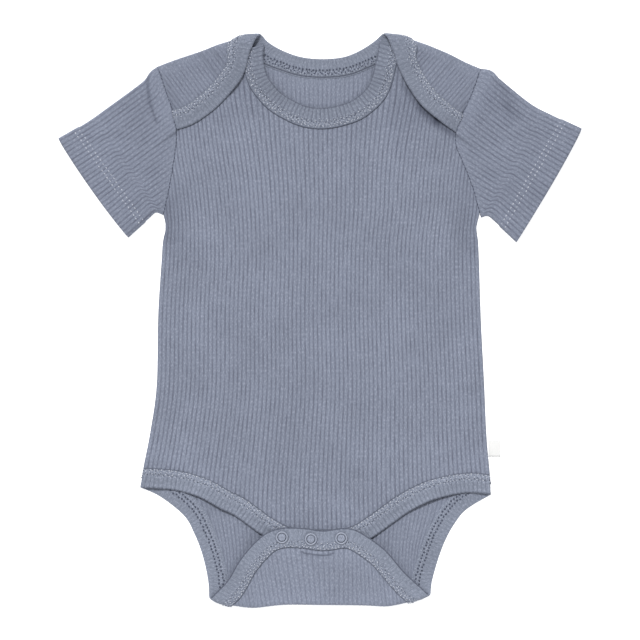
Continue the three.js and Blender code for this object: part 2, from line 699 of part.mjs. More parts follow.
const backRingBase = placket - BAND_HALF - GAP - SNAP.backHeight;
const ringBase = flapPlacket + BAND_HALF + GAP;
const { ringRadius, ringHole, socketRadius, socketHole } = SNAP;
const fasteners = [
  { name: "snap_back", make: () => ring(ringRadius, ringHole, SNAP.backHeight), z: backRingBase },
  { name: "snap_stud", make: stud, z: studBase },
  { name: "snap_socket", make: () => ring(socketRadius, socketHole, SNAP.socketHeight), z: socketBase },
  { name: "snap_ring", make: () => ring(ringRadius, ringHole, SNAP.ringHeight), z: ringBase },
];
SNAP_PLACES.forEach(({ x, y }, i) => {
  for (const { name, make, z } of fasteners) piece(`${name}_${i + 1}`, make(), lacquer).position.set(x, y, z);
});

export default romper;
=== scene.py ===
# %% [markdown]
# # A baby's rib-knit romper, laid flat
#
# The romper lies on its back on a table and is seen from straight above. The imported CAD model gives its
# size and place, and this script dresses it: ribbed cloth, folded bindings, threads, snaps and a label.
#
# The whole garment is flat cloth, so nearly everything here is one idea, used several times. A piece of
# cloth is a grid of points. Its columns run along the ribs of the knit, its rows run across them, and
# a height is worked out for every point from what lies underneath.

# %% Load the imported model
import math

import bpy
import numpy as np
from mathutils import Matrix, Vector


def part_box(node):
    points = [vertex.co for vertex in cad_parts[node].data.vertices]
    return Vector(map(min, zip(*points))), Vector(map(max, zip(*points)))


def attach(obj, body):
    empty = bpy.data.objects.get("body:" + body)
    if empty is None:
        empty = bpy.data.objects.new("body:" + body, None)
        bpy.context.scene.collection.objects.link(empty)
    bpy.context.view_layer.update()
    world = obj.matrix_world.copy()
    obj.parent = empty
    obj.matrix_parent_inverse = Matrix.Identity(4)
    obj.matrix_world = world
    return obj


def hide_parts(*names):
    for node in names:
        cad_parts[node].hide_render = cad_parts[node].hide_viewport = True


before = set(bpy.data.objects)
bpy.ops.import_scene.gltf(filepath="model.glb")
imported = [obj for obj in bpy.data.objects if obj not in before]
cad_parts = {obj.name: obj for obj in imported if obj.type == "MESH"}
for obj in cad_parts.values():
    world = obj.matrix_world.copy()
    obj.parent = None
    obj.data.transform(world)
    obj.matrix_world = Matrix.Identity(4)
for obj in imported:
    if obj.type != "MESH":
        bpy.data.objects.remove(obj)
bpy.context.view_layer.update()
scene = bpy.context.scene
print("packed model:", len(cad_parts), "nodes")

# %% [markdown]
# ## Sizes
#
# The frame is in metres, but a dressmaker thinks in millimetres, and so do the tables below. Every mesh
# is turned into metres at the last moment, when it is made.

# %% Thicknesses and widths
MM = 0.001
CLOTH = 1.0  # thickness of the rib knit, over its ribs
GAP = 0.3  # air between two pieces that lie on each other
LAYER = CLOTH + GAP
PLAIN_HALF = CLOTH / 2
BAND = 14.0  # finished width of every binding
BAND_BEND = 2.0  # how far a binding's bend stands out past the edge that it covers
BAND_HALF = 1.5 * CLOTH + GAP  # half the thickness of a bound edge
LIFT_REACH = 13.0  # how far beside a band the cloth above it is still fully lifted
LIFT_END = 15.0  # and how far beyond that it has come down
RIBS = 77  # ribs across the front
RIB_STEPS = 6  # columns for each rib
RIB_HEIGHT = 0.22  # from the crest of a rib down into the groove
BAND_RIB = 3.0  # width of one rib in a binding
WAVE = 0.55  # how high the loosely lying cloth waves
SNAP_PLACES = [(-26.6, -152.6), (-6.4, -153.4), (14.8, -152.8)]
SNAP_HEIGHTS = {"stud": 0.5, "socket": 1.1}

# %% [markdown]
# ## The outlines
#
# A pattern cutter draws each piece with a few points and a smooth line through them. "right" is the
# wearer's right, where x is below zero. A bound edge is drawn where the binding bends round it.

# %% Outline points, x and y in millimetres
RIGHT = {
    "armhole": [(-113.5, 177), (-109, 163.5), (-104.2, 149), (-100.8, 133), (-101, 122), (-103.6, 104),
                (-107, 87), (-109.8, 73.9)],
    "side": [(-109.8, 73.9), (-107.7, 66), (-110.4, 50), (-113.5, 5), (-114.3, -45), (-118.7, -78),
             (-125.8, -117.2)],
    "lap": [(-42, 200.5), (-48.6, 188), (-51.6, 176.5), (-56.8, 166), (-72, 149), (-88, 137.5),
            (-100.8, 133)],
    "leg": [(-125.8, -117.2), (-111.8, -123.6), (-95.3, -136.8), (-88.1, -149.2), (-82.5, -163.7),
            (-78.7, -180.1), (-77.4, -194.8)],
    "sleeve_top": [(-113.5, 177), (-118.5, 173.4), (-121.5, 168.8), (-126, 164.6), (-147, 149.2),
                   (-163, 137.9), (-182.3, 126.7)],
    "sleeve_under": [(-109.8, 73.9), (-115, 75.6), (-120, 71.5), (-134.2, 58.8)],
    "shoulder_out": [(0, 0.9), (8, 2.7), (14.5, 3.0), (22, 2.4), (32, 1.9), (44, 1.2), (62, 1.1),
                     (75, 0.5)],
    "crotch_out": [(0, 1.0), (4, 1.6), (6, 1.6), (9, 1.2), (13, 0.7), (18, 0.5)],
}
LEFT = {
    "armhole": [(112.4, 175.6), (106.5, 158.5), (100.2, 144.5), (95.3, 131), (95.4, 122), (100.4, 110),
                (106.6, 94), (112.8, 72)],
    "side": [(112.8, 72), (109.6, 64), (111.4, 42), (112.4, 0), (114.9, -45), (116.6, -82),
             (119.9, -122)],
    "lap": [(45, 200.8), (50.2, 189.5), (54.6, 177), (61, 164), (71, 150), (84, 139), (95.3, 131)],
    "leg": [(119.9, -122), (102.8, -132.3), (94.5, -142), (88, -153.5), (82.8, -167), (78.6, -182),
            (77, -192.4)],
    "sleeve_top": [(112.4, 175.6), (120.2, 174), (127, 167.5), (147.3, 151.2), (161.8, 143.4),
                   (182.5, 133.7)],
    "sleeve_under": [(112.8, 72), (117.5, 73), (123.5, 68.3), (137.4, 55.3)],
    "shoulder_out": [(0, 1.0), (6, 2.2), (12, 3.2), (18, 3.6), (24, 3.2), (36, 2.8), (48, 2.3), (60, 0.9),
                     (72, 0.3)],
    "crotch_out": [(0, 1.2), (4, 1.3), (7, 1.2), (10, 0.7), (14, 0.5), (18, 0.5)],
}
BACK_NECK = [(-42, 200.5), (-35.2, 193.9), (-24.5, 187.9), (-11, 183.7), (5, 182.8), (19, 184.8),
             (32, 191), (45, 200.8)]
FRONT_NECK = [(-39, 193), (-39.3, 182), (-36.6, 171), (-32, 164.3), (-27.5, 159.4), (-20.6, 154.8),
              (-10, 149.9), (0, 148.4), (9, 149.4), (20, 152.6), (27, 157), (33.2, 163.2), (36.2, 170),
              (38.2, 178), (39.8, 185), (41.3, 194)]
FRONT_LEG = [(-125.8, -117.2), (-103, -118.8), (-88, -122.6), (-79.9, -126.1), (-69.3, -132.2),
             (-59.9, -136.8), (-49.9, -144), (-40.8, -150.4), (-27, -157.5), (-10, -160.3), (12, -160.3),
             (24, -158.4), (35.2, -153.2), (53.4, -140.4), (61, -135), (71.6, -129.1), (84, -124.3),
             (103, -120.8), (119.9, -122)]
FLAP = [(-77.4, -194.8), (-65, -182.3), (-55, -166), (-41, -151), (-28, -145.4), (-12, -145.2),
        (2, -147), (16, -145.3), (27, -147.6), (45, -160), (60, -177), (77, -192.4)]
CROTCH_FOLD = [(-77.4, -194.8), (-71.1, -199.9), (-63.3, -201), (-47, -201.7), (-25, -199.5), (0, -199.6),
               (30, -199.9), (48, -200.6), (63, -198.6), (70.5, -196.2), (77, -192.4)]

# %% [markdown]
# A few small tools work on such lines: they draw the smooth line, measure along it, and find how far
# points are from it. All of them take whole arrays, because a panel has some 40,000 points.

# %% Lines in plan
def ease(t):
    t = np.clip(t, 0, 1)
    return t * t * (3 - 2 * t)


def unit(v):
    v = np.asarray(v, float)
    return v / np.linalg.norm(v, axis=-1, keepdims=True)


def blend(a, b, t):
    return a + (b - a) * t


def hump(value, middle, width):
    """1 at the middle, and softly down to 0 on both sides"""
    return np.exp(-(((value - middle) / width) ** 2))


def travel(line):
    """How far along the line each of its points is"""
    steps = np.linalg.norm(np.diff(line, axis=0), axis=1)
    return np.concatenate([[0], np.cumsum(steps)])


def read_off(at, known, table):
    """The columns of a table, read off between the places where they are known"""
    return np.stack([np.interp(at, known, column) for column in table.T], axis=1)


def divide(line, count):
    """The line again, as count equal steps"""
    along = travel(line)
    return read_off(np.linspace(0, along[-1], count + 1), along, line)


def drawn(points, step=0.5):
    """A smooth line through the points, in steps of about step"""
    p = np.array(points, float)
    padded = np.vstack([p[:1], p, p[-1:]])
    t = np.linspace(0, 1, 40, endpoint=False)[:, None]
    spans = []
    for a, b, c, d in zip(padded, padded[1:], padded[2:], padded[3:]):
        spans.append(0.5 * (2 * b + (c - a) * t + (2 * a - 5 * b + 4 * c - d) * t**2
                            + (3 * b - a - 3 * c + d) * t**3))
    dense = np.vstack(spans + [p[-1:]])
    return divide(dense, max(2, int(round(travel(dense)[-1] / step))))


def distance_to(lines, x, y):
    """From each point to the nearest of the lines"""
    p = np.stack([np.ravel(x), np.ravel(y)], axis=1)
    best = np.full(len(p), 1e6)
    for line in lines:
        for a, b in zip(line[:-1], line[1:]):
            t = np.clip((p - a) @ (b - a) / ((b - a) @ (b - a)), 0, 1)
            best = np.minimum(best, np.linalg.norm(p - a - t[:, None] * (b - a), axis=1))
    return best.reshape(np.shape(x))


def softened(values, reach):
    """The rows averaged with their neighbours, up to reach rows away"""
    window = np.hanning(2 * reach + 3)[1:-1]
    padded = np.vstack([np.repeat(values[:1], reach, 0), values, np.repeat(values[-1:], reach, 0)])
    return np.stack([np.convolve(c, window / window.sum(), "valid") for c in padded.T], axis=1)


def inward_from(line, side, start, end, widen=(1.0, 1.0), turn_over=26):
    """The way from a bound edge into the cloth. At each end it turns to run along the seam or fold there,
    and is longer by widen, because a binding that crosses a fold at a slant takes up more of it."""
    tangent = unit(softened(np.gradient(line, axis=0), 10))
    across = side * np.stack([-tangent[:, 1], tangent[:, 0]], axis=1)
    done = travel(line)[:, None]
    at_start, at_end = ease(1 - done / turn_over), ease(1 - (done[-1] - done) / turn_over)
    across = blend(blend(across, start, at_start), end, at_end)
    return unit(across) * blend(1, widen[0], at_start) * blend(1, widen[1], at_end)

# %% The two sides
def half_of(table, sign):
    """The lines of one side and the directions at their ends. sign is that of its x."""
    lines = {name: drawn(points) for name, points in table.items()}
    armhole = lines["armhole"]
    corner = int(np.argmin(np.linalg.norm(armhole - lines["lap"][-1], axis=1)))
    neck_point, shoulder = lines["lap"][0], armhole[0]
    shoulderward = unit(shoulder - neck_point)
    return lines | {
        "sign": sign,
        "corner": corner,
        "neck_point": neck_point,
        "shoulder": shoulder,
        "shoulderward": shoulderward,
        "inward": -sign * np.array([-shoulderward[1], shoulderward[0]]),
        "up_side": unit(lines["side"][-20] - lines["side"][-1]),
        "foldward": unit([-sign * 0.92, -0.36]),
        "up_armhole": unit(armhole[corner - 20] - armhole[corner]),
    }


right = half_of(RIGHT, -1)
left = half_of(LEFT, 1)
halves = {"right": right, "left": left}
print("shoulder slope:", np.degrees(np.arctan2(*-right["shoulderward"][::-1])).round(1), "degrees")

# %% [markdown]
# ## How high each layer lies
#
# The back lies on the table and everything else lies on it: the front, then the laps and the flap, and
# between them the bindings, which lift what crosses them. So the height of a layer is the top of the
# one below, a little air, and half its own thickness. Cloth that is laid down by hand also waves a little,
# and a few soft creases run across it. They are placed one by one, because even ones look like a pattern.

# %% Bound edges
NECK_WIDEN = 1.36
CROTCH_WIDEN = 1.15
neck_ends = {"start": right["shoulderward"], "end": left["shoulderward"]}
side_ends = {"start": right["up_side"], "end": left["up_side"]}
fold_ends = {"start": right["foldward"], "end": left["foldward"]}


def bound(line, side, ends, widen=(1.0, 1.0)):
    return {"line": line, "into": inward_from(line, side, **ends, widen=widen)}


back_neck = bound(drawn(BACK_NECK), -1, neck_ends, (NECK_WIDEN, NECK_WIDEN))
front_neck = bound(drawn(FRONT_NECK), -1, neck_ends)
front_leg = bound(drawn(FRONT_LEG), 1, side_ends)
flap = bound(drawn(FLAP), -1, fold_ends, (CROTCH_WIDEN, CROTCH_WIDEN))
for half in halves.values():
    lap_ends = {"start": half["shoulderward"], "end": half["up_armhole"]}
    leg_ends = {"start": half["up_side"], "end": half["foldward"]}
    half["lap"] = bound(half["lap"], half["sign"], lap_ends, (NECK_WIDEN, 1.0))
    half["leg"] = bound(half["leg"], -half["sign"], leg_ends, (1.0, CROTCH_WIDEN))


def beside(edge, depth):
    """The line that runs at some depth inside a bound edge"""
    return edge["line"] + depth * edge["into"]


def band_middle(edge):
    """A coarse line along the middle of a binding, which says where it lifts the cloth above it"""
    middle = beside(edge, 0.57 * BAND)
    return divide(middle, max(6, int(travel(middle)[-1] / 9)))

# %% Creases and waves
# Soft creases in the front: the x and y of both ends, then the width and the height
CREASES = [
    (88, 126, 52, 112, 7, 0.9), (60, 131, 40, 118, 5, 0.6), (-98, 98, -86, 62, 6, 0.9),
    (-90, 118, -80, 98, 5, 0.5), (99, 84, 90, 48, 6, 0.9), (104, 60, 86, 36, 4, 0.5),
    (-110, -12, -74, -18, 5, 0.7), (-108, 18, -90, 10, 5, 0.5), (108, -44, 84, -56, 5, 0.6),
    (110, 10, 96, 2, 5, 0.4), (-104, -84, -70, -98, 7, 0.6), (98, -92, 66, -104, 7, 0.6),
    (-24, -128, 24, -131, 5, 0.7), (-44, -132, -20, -146, 5, 0.6), (46, -130, 24, -144, 5, 0.5),
    (-30, 60, -14, 20, 10, 0.35), (34, 10, 46, -40, 11, 0.35), (6, -60, -8, -96, 9, 0.3),
]
CREASE_BOW = 0.06  # how much of its length a crease bows out


def creases_at(x, y, creases):
    """The height of all the creases in such a table"""
    total = np.zeros(np.shape(x))
    for *ends, width, height in creases:
        a, b = np.reshape(np.array(ends, float), (2, 2))
        run = np.linalg.norm(b - a)
        direction = (b - a) / run
        along = (x - a[0]) * direction[0] + (y - a[1]) * direction[1]
        across = (y - a[1]) * direction[0] - (x - a[0]) * direction[1]
        bowed = across + CREASE_BOW * run * np.sin(np.pi * np.clip(along / run, 0, 1))
        faded = ease((along + width) / (2 * width)) * ease((run + width - along) / (2 * width))
        total += height * faded * hump(bowed, 0, width)
    return total


def waving(x, y):
    """The slow, uneven waves of cloth that lies loose, from 0 to 1"""
    wave = (np.sin(x / 31 + 0.8 * np.sin(y / 47 + 1.1)) * np.sin(y / 39 + 0.9 * np.sin(x / 53))
            + 0.6 * np.sin(x / 17 + y / 60 + 2.0 + np.sin(y / 29)) * np.sin(y / 71 - x / 90 + 0.4))
    return 0.5 + 0.3 * wave

# %% Heights
BACK_BANDS = [band_middle(e) for e in (back_neck, right["leg"], left["leg"])]
FRONT_NECK_BAND = [band_middle(front_neck)]
FRONT_LEG_BAND = [band_middle(front_leg)]
CHEST_AIR = 0.7  # how far the front stands off the back
CROTCH_AIR = 0.9
FLAT_SIDE = 106  # from here out to the side seams the front lies flat


def over(bands, x, y, reach=LIFT_REACH, end=LIFT_END):
    """1 on a band, falling to 0 beside it"""
    return 1 - ease((distance_to(bands, x, y) - reach) / end)


def bound_in(bands, x, y):
    """How far a panel's own edge is lifted where it lies inside a binding"""
    return LAYER * over(bands, x, y, reach=7, end=13)


def relief(x, y):
    """What the loosely lying front rises above the flat: nothing at its side seams"""
    inside = ease((FLAT_SIDE - np.abs(x)) / 30)
    return WAVE * waving(x, y) * inside + creases_at(x, y, CREASES)


def back_top(x, y):
    return CLOTH + 2 * LAYER * over(BACK_BANDS, x, y)


def air(x, y):
    chest = CHEST_AIR * np.clip(1 - (x / 95) ** 2, 0, 1)
    crotch = CROTCH_AIR * ease((55 - np.abs(x)) / 20) * ease((-115 - y) / 20)
    return np.maximum(chest, crotch)


def front_base(x, y):
    return back_top(x, y) + GAP + air(x, y)


def front_middle(x, y, half=PLAIN_HALF):
    return front_base(x, y) + half + relief(x, y)


def front_top(x, y):
    return front_middle(x, y) + PLAIN_HALF + 2 * LAYER * over(FRONT_NECK_BAND, x, y)


def lap_middle(x, y, half=PLAIN_HALF):
    return front_top(x, y) + GAP + half


MIDDLE_SNAP = SNAP_PLACES[1]
placket = float(front_base(0, MIDDLE_SNAP[1])) + BAND_HALF
stud_base = placket + BAND_HALF + GAP
socket_base = stud_base + SNAP_HEIGHTS["stud"] + GAP
flap_placket = socket_base + SNAP_HEIGHTS["socket"] + GAP + BAND_HALF
FLAP_LOW = 3.5  # how high the flap lies just over its fold
FLAP_FOOT = -197  # from this y it rises to its snaps
FLAP_RISE = 36


def flap_middle(x, y):
    low = np.maximum(FLAP_LOW, back_top(x, y) + GAP + BAND_HALF)
    return blend(low, flap_placket, ease((y - FLAP_FOOT) / FLAP_RISE))


print("flap lies", round(flap_placket, 2), "mm up at its snaps")

# %% [markdown]
# ## Making cloth from a grid
#
# A rib knit is a row of rounded ribs with narrow grooves between, on both of its faces: where the outside
# has a groove, the inside has a rib. Real ribs in the mesh catch the light from every side, which a bump
# map can't do at the edges. Six columns for each rib are enough to round it.
#
# A grid gives only the middle of the cloth. The shell is made by moving it out to both sides along its
# normal and closing every free edge with a rim, so each piece is a solid with real thickness. Its UV map
# counts ribs across and millimetres along, and the knit's pattern follows that.

# %% Mesh tools
def add_object(name, data):
    item = bpy.data.objects.new(name, data)
    scene.collection.objects.link(item)
    return item


def rib_profile(phase):
    """0 in the groove between two ribs, 1 on the crest"""
    return np.abs(np.sin(np.pi * phase)) ** 0.45


def grid_cells(valid):
    """The corners of each cell whose four points are all valid"""
    rows, columns = valid.shape
    index = np.arange(rows * columns).reshape(rows, columns)
    whole = valid[:-1, :-1] & valid[1:, :-1] & valid[1:, 1:] & valid[:-1, 1:]
    corners = [index[:-1, :-1], index[1:, :-1], index[1:, 1:], index[:-1, 1:]]
    return np.stack([c[whole] for c in corners], axis=1)


def point_normals(points, cells):
    a, b, c, d = (points[cells[:, i]] for i in range(4))
    across = np.cross(c - a, d - b)
    normals = np.zeros_like(points)
    for i in range(4):
        np.add.at(normals, cells[:, i], across)
    size = np.linalg.norm(normals, axis=1, keepdims=True)
    return normals / np.where(size > 1e-9, size, 1)


def free_edges(cells):
    """The cells' edges, in their own direction, that no other cell shares"""
    edges = np.concatenate([cells[:, [i, (i + 1) % 4]] for i in range(4)])
    edges = edges[edges[:, 0] != edges[:, 1]]
    ordered = np.sort(edges, axis=1)
    _, where, counts = np.unique(ordered, axis=0, return_inverse=True, return_counts=True)
    return edges[counts[np.ravel(where)] == 1]


def volume_of(points, faces):
    a, b, c, d = (points[faces[:, i]] for i in range(4))
    return (np.einsum("ij,ij->i", a, np.cross(b, c)) + np.einsum("ij,ij->i", a, np.cross(c, d))).sum() / 6


def on_table(points):
    """Nothing goes below the table: what would is pressed flat on it"""
    points[:, 2] = np.maximum(points[:, 2], 0)
    return points


def mesh_piece(name, points, faces, uv, shades, material):
    """A smooth-shaded object from points in millimetres and faces of four corners"""
    used, faces = np.unique(faces, return_inverse=True)
    faces = faces.reshape(-1, 4)
    points, uv = on_table(points[used]), uv[used]
    if volume_of(points, faces) < 0:
        faces = faces[:, ::-1]
    mesh = bpy.data.meshes.new(name)
    mesh.vertices.add(len(points))
    mesh.vertices.foreach_set("co", np.ravel(points * MM).astype(np.float32))
    mesh.loops.add(faces.size)
    mesh.loops.foreach_set("vertex_index", np.ravel(faces).astype(np.int32))
    mesh.polygons.add(len(faces))
    mesh.polygons.foreach_set("loop_start", np.arange(0, faces.size, 4).astype(np.int32))
    mesh.update(calc_edges=True)
    layer = mesh.uv_layers.new(name="Knit")
    layer.data.foreach_set("uv", np.ravel(uv[np.ravel(faces)]).astype(np.float32))
    for shade, values in shades.items():
        attribute = mesh.attributes.new(shade, "FLOAT", "POINT")
        attribute.data.foreach_set("value", values[used].astype(np.float32))
    mesh.polygons.foreach_set("use_smooth", np.ones(len(faces), bool))
    mesh.validate()
    mesh.materials.append(material)
    print(name, "has", 2 * len(faces), "triangles")
    return add_object(name, mesh)

# %% Shells
def cloth_shell(name, points, phase, along, material, thick=CLOTH, rib=RIB_HEIGHT, ring=False,
                painted_shade=0.0, tone=1.0):
    """A closed wall of ribbed cloth. points[row, column] are its middle; phase counts ribs."""
    if ring:
        points, phase, along, thick, painted_shade = (
            np.concatenate([a, a[:, :1]], axis=1) for a in (points, phase, along, thick, painted_shade)
        )
    valid = np.isfinite(points).all(axis=2)
    flat = np.where(valid[..., None], points, 0).reshape(-1, 3)
    cells = grid_cells(valid)
    if ring:
        index = np.arange(valid.size).reshape(valid.shape)
        index[:, -1] = index[:, 0]
        cells = np.ravel(index)[cells]

    def over_grid(value):
        return np.broadcast_to(value, valid.shape).ravel()

    normals = point_normals(flat, cells)
    phase, along, half, rib = over_grid(phase), over_grid(along), over_grid(thick) / 2, over_grid(rib)
    outside = half - rib * (1 - rib_profile(phase))
    inside = half - rib * (1 - rib_profile(phase + 0.5))
    both = np.vstack([flat + normals * outside[:, None], flat - normals * inside[:, None]])
    uv = np.vstack([np.stack([phase, along], 1), np.stack([phase + 0.5, along], 1)])
    count = len(flat)
    rim = free_edges(cells)
    walls = np.stack([rim[:, 1], rim[:, 0], rim[:, 0] + count, rim[:, 1] + count], 1)
    faces = np.vstack([cells, cells[:, ::-1] + count, walls])
    # the crease attribute carries painted shade and painted shadow; tone paints whole pieces lighter or
    # darker, as painted light and shade
    shades = {"relief": rib / RIB_HEIGHT, "crease": over_grid(painted_shade), "tone": over_grid(tone)}
    shades = {key: np.tile(value, 2) for key, value in shades.items()}
    return mesh_piece(name, both, faces, uv, shades, material)

# %% [markdown]
# ## The body's ribs
#
# The ribs run down the body and spread with it: there are as many at the narrow waist as at the wide hip.
# So a rib is a line of constant share of the width. Past the underarm the side lines go on as if there
# were no armhole, which cuts the ribs as it does in real cloth, and the chest spreads them a little more.

# %% Ribs of the body
SIDE_RIGHT = drawn([(-118, 215), (-116.5, 130), (-112, 95), (-109.9, 74), (-110.4, 50), (-113.2, 5),
                    (-114.3, -45), (-118.7, -78), (-125.8, -117.2), (-128, -150), (-128.5, -215)])
SIDE_LEFT = drawn([(119, 215), (117, 130), (113.6, 95), (111.8, 72), (110.9, 55), (111.4, 38), (112.6, 0),
                   (114.9, -45), (116.6, -82), (119.9, -122), (122, -150), (123, -215)])
NECK_PULL = 3.2  # how far the ribs beside the neck are drawn towards the shoulders
UNDERARM_PINCH = 1.8  # how far each side is drawn in, just below its sleeve


def body_x(share, y, chest=0.15):
    """Where a rib is at a height y. share is -1 at the wearer's right side seam and 1 at the left."""
    low = np.interp(-y, -SIDE_RIGHT[:, 1], SIDE_RIGHT[:, 0])
    high = np.interp(-y, -SIDE_LEFT[:, 1], SIDE_LEFT[:, 0])
    spread = (0.06 * ease((y - 35) / 55) + chest * ease((y - 90) / 110)) * (1 - share**2)
    pinch = UNDERARM_PINCH * hump(y, 65, 7) * share * np.abs(share) ** 24
    return (low + high) / 2 + (high - low) / 2 * share * (1 + spread) - pinch


def front_x(share, y):
    """The same on the front, whose ribs are drawn outwards beside the neck"""
    pull = NECK_PULL * np.sign(share) * hump(np.abs(share), 0.44, 0.13)
    return body_x(share, y) + pull * ease((y - 115) / 50)


def back_x(share, y):
    """The same on the back, whose ribs give way to the armholes and draw together towards the crotch"""
    x = body_x(share, y, 0.0)
    for half in halves.values():
        hole, sign = half["armhole"], half["sign"]
        gap = np.interp(-y, -hole[:, 1], hole[:, 0]) - body_x(sign, y)
        x = x + np.where(y > hole[-1, 1], gap, 0) * ((1 + sign * share) / 2) ** 4
    return x * (1 - 0.36 * share**2 * ease((-112 - y) / 60))


def turning_point(low, high, is_beyond):
    """Where is_beyond turns true between low and high, found by halving for all columns at once"""
    for _ in range(40):
        middle = (low + high) / 2
        beyond = is_beyond(middle)
        high, low = np.where(beyond, middle, high), np.where(beyond, low, middle)
    return (low + high) / 2


def meets(line, low, high, x_of):
    """The y at which each rib meets a line that is given by rising x"""
    ends = np.full(share.shape, float(low)), np.full(share.shape, float(high))
    return turning_point(*ends, lambda y: y > np.interp(x_of(share, y), line[:, 0], line[:, 1]))


def rising(line):
    """The line in order of x, without the points that turn back"""
    line = line if line[-1, 0] > line[0, 0] else line[::-1]
    return line[np.concatenate([[True], line[1:, 0] > np.maximum.accumulate(line[:, 0])[:-1]])]

# %% Columns
columns = np.arange(RIBS * RIB_STEPS + 1)
share = 2 * columns / columns[-1] - 1
body_phase = columns / RIB_STEPS
rib_width = float(body_x(share[RIB_STEPS], 0) - body_x(share[0], 0))
print(len(columns), "columns,", round(rib_width, 2), "mm a rib at the waist")

# %% [markdown]
# ## Cloth that is folded over
#
# At each shoulder the back is folded forward over the front and becomes the lap, and at the crotch it is
# folded up and becomes the flap. A fold in knit is never sharp, so the cloth goes round it as round a
# thin rod. half_at is half its thickness there: more beside the bindings, where it has three layers.

# %% Folds
FOLD_EASE = 20.0  # how far beside a binding its thickness is still felt in a fold
ROLL = np.radians([-90, -60, -30, 0, 30, 60, 90])
PANEL_UNDER = 7.0  # how deep inside a binding the panel's own edge lies


def out_at(line, along):
    """How far a fold stands out past its straight line"""
    return np.interp(along, line[:, 0], line[:, 1])


def half_at(from_band):
    return PLAIN_HALF + LAYER * (1 - ease(from_band / FOLD_EASE))


def roll_over(fold, inward, half, high):
    """Rows of points round a fold, from under to over. fold is where the cloth's outside turns."""
    radius = (high - half) / 2
    rows = []
    for angle in ROLL:
        into = half + radius * (1 - np.cos(angle))
        plan = fold + inward * into[:, None]
        rows.append(np.column_stack([plan, (high + half) / 2 + radius * np.sin(angle)]))
    return np.array(rows)


def lap_lift(x, y):
    """The laps don't lie quite down: the wearer's left one stands off most"""
    return creases_at(x, y, [(60, 168, 90, 138, 10, 2.8)])


def lap_cloth(x, y, half):
    return lap_middle(x, y, half) + lap_lift(x, y)

# %% [markdown]
# ## The front panel
#
# One grid. Each rib runs from the neck, or from the hidden shoulder under a lap, or from the armhole,
# down to the leg's edge. The panel's ends lie inside the bindings, made later round the same lines.

# %% Front panel
FRONT_ROWS = 88
FRONT_SHADOWS = [  # where little light gets under the laps and the sleeves, as rows like those of CREASES
    (59, 165, 70.5, 149.5, 2.6, 0.5), (69, 151, 83.5, 138.5, 3.2, 0.8), (80, 140.5, 96, 129.5, 2.8, 0.7),
    (50, 158, 74, 136, 9.0, 0.20), (54, 146, 60, 112, 10.0, 0.13), (-72, 140, -44, 156, 9.0, 0.13),
    (104, 104, 107, 44, 9.0, 0.16), (-106, 84, -107, 54, 5.0, 0.22), (-100, 96, -99, 44, 11.0, 0.17),
]
SIDE_DROP = 0.22  # the side seam pulls the front's edge down onto the back


def front_points():
    right_seam = right["armhole"][right["corner"]:][::-1]
    left_seam = left["armhole"][left["corner"]:]
    under_right_lap = [(-100.2, 152), (-98.5, 166), (-67, 184.5), (-52, 189)]
    under_left_lap = [(52, 188), (67, 183), (93.8, 164), (95, 150)]
    neck_line = beside(front_neck, PANEL_UNDER)
    top = rising(np.vstack([right_seam, under_right_lap, neck_line, under_left_lap, left_seam]))
    bottom = rising(beside(front_leg, PANEL_UNDER))
    y_top, y_bottom = meets(top, 20, 215, front_x), meets(bottom, -175, -60, front_x)
    y = blend(y_top, y_bottom, np.linspace(0, 1, FRONT_ROWS)[:, None])
    x = front_x(np.broadcast_to(share, y.shape), y)
    z = front_middle(x, y) + bound_in(FRONT_NECK_BAND + FRONT_LEG_BAND, x, y)
    z -= SIDE_DROP * ease((np.abs(share) - 0.98) / 0.02)
    return np.stack([x, y, z], axis=2)

# %% [markdown]
# ## The back panel, with its laps and its flap
#
# It is one piece of cloth on the real romper, and so it is one grid here: the rows run from a lap's edge
# up to the shoulder, round the fold, down the whole back, round the crotch and up to the flap's edge.
# Ribs that end at the neck or at a leg leave the rest of their column empty. On the laps the ribs run at
# a slant, because a fold turns them over like a mirror.

# %% Back panel
LAP_ROWS = 16
BODY_ROWS = 54
FLAP_ROWS = 48
BACK_RIB = 0.16  # the inside of the knit is flatter, and so is the flap, pressed by its snaps
LAP_RIB = 0.18
FLAP_RIB = 0.13
FOLD_RIB = 0.07  # a fold stretches its ribs flat
# painted light and shade: the laps are painted darker and the flap lighter, for how the light falls on
# them
LAP_PAINTED_SHADE = 0.91
FLAP_PAINTED_LIGHT = 1.08
FLAP_LEAN = 0.16  # the flap is buttoned a little askew, so its ribs lean
crotch_fold = drawn(CROTCH_FOLD)
tuck = drawn([(-12.5, -161.9), (-8.7, -163.2), (-0.5, -164.2), (6.4, -163.8), (9, -162.4)])
FOLD_SLOPE = 15  # how far from a fold the back comes down to the table
SHORTEST = 0.4  # the least length of a rib on a lap or on the flap
NECK_END = 12  # steps of the neckline and of the crotch fold that the bindings take up at each end
CROTCH_END = 24
CROTCH_BAND_AT = 63.3  # where the binding's inner edge meets the crotch fold, from the middle

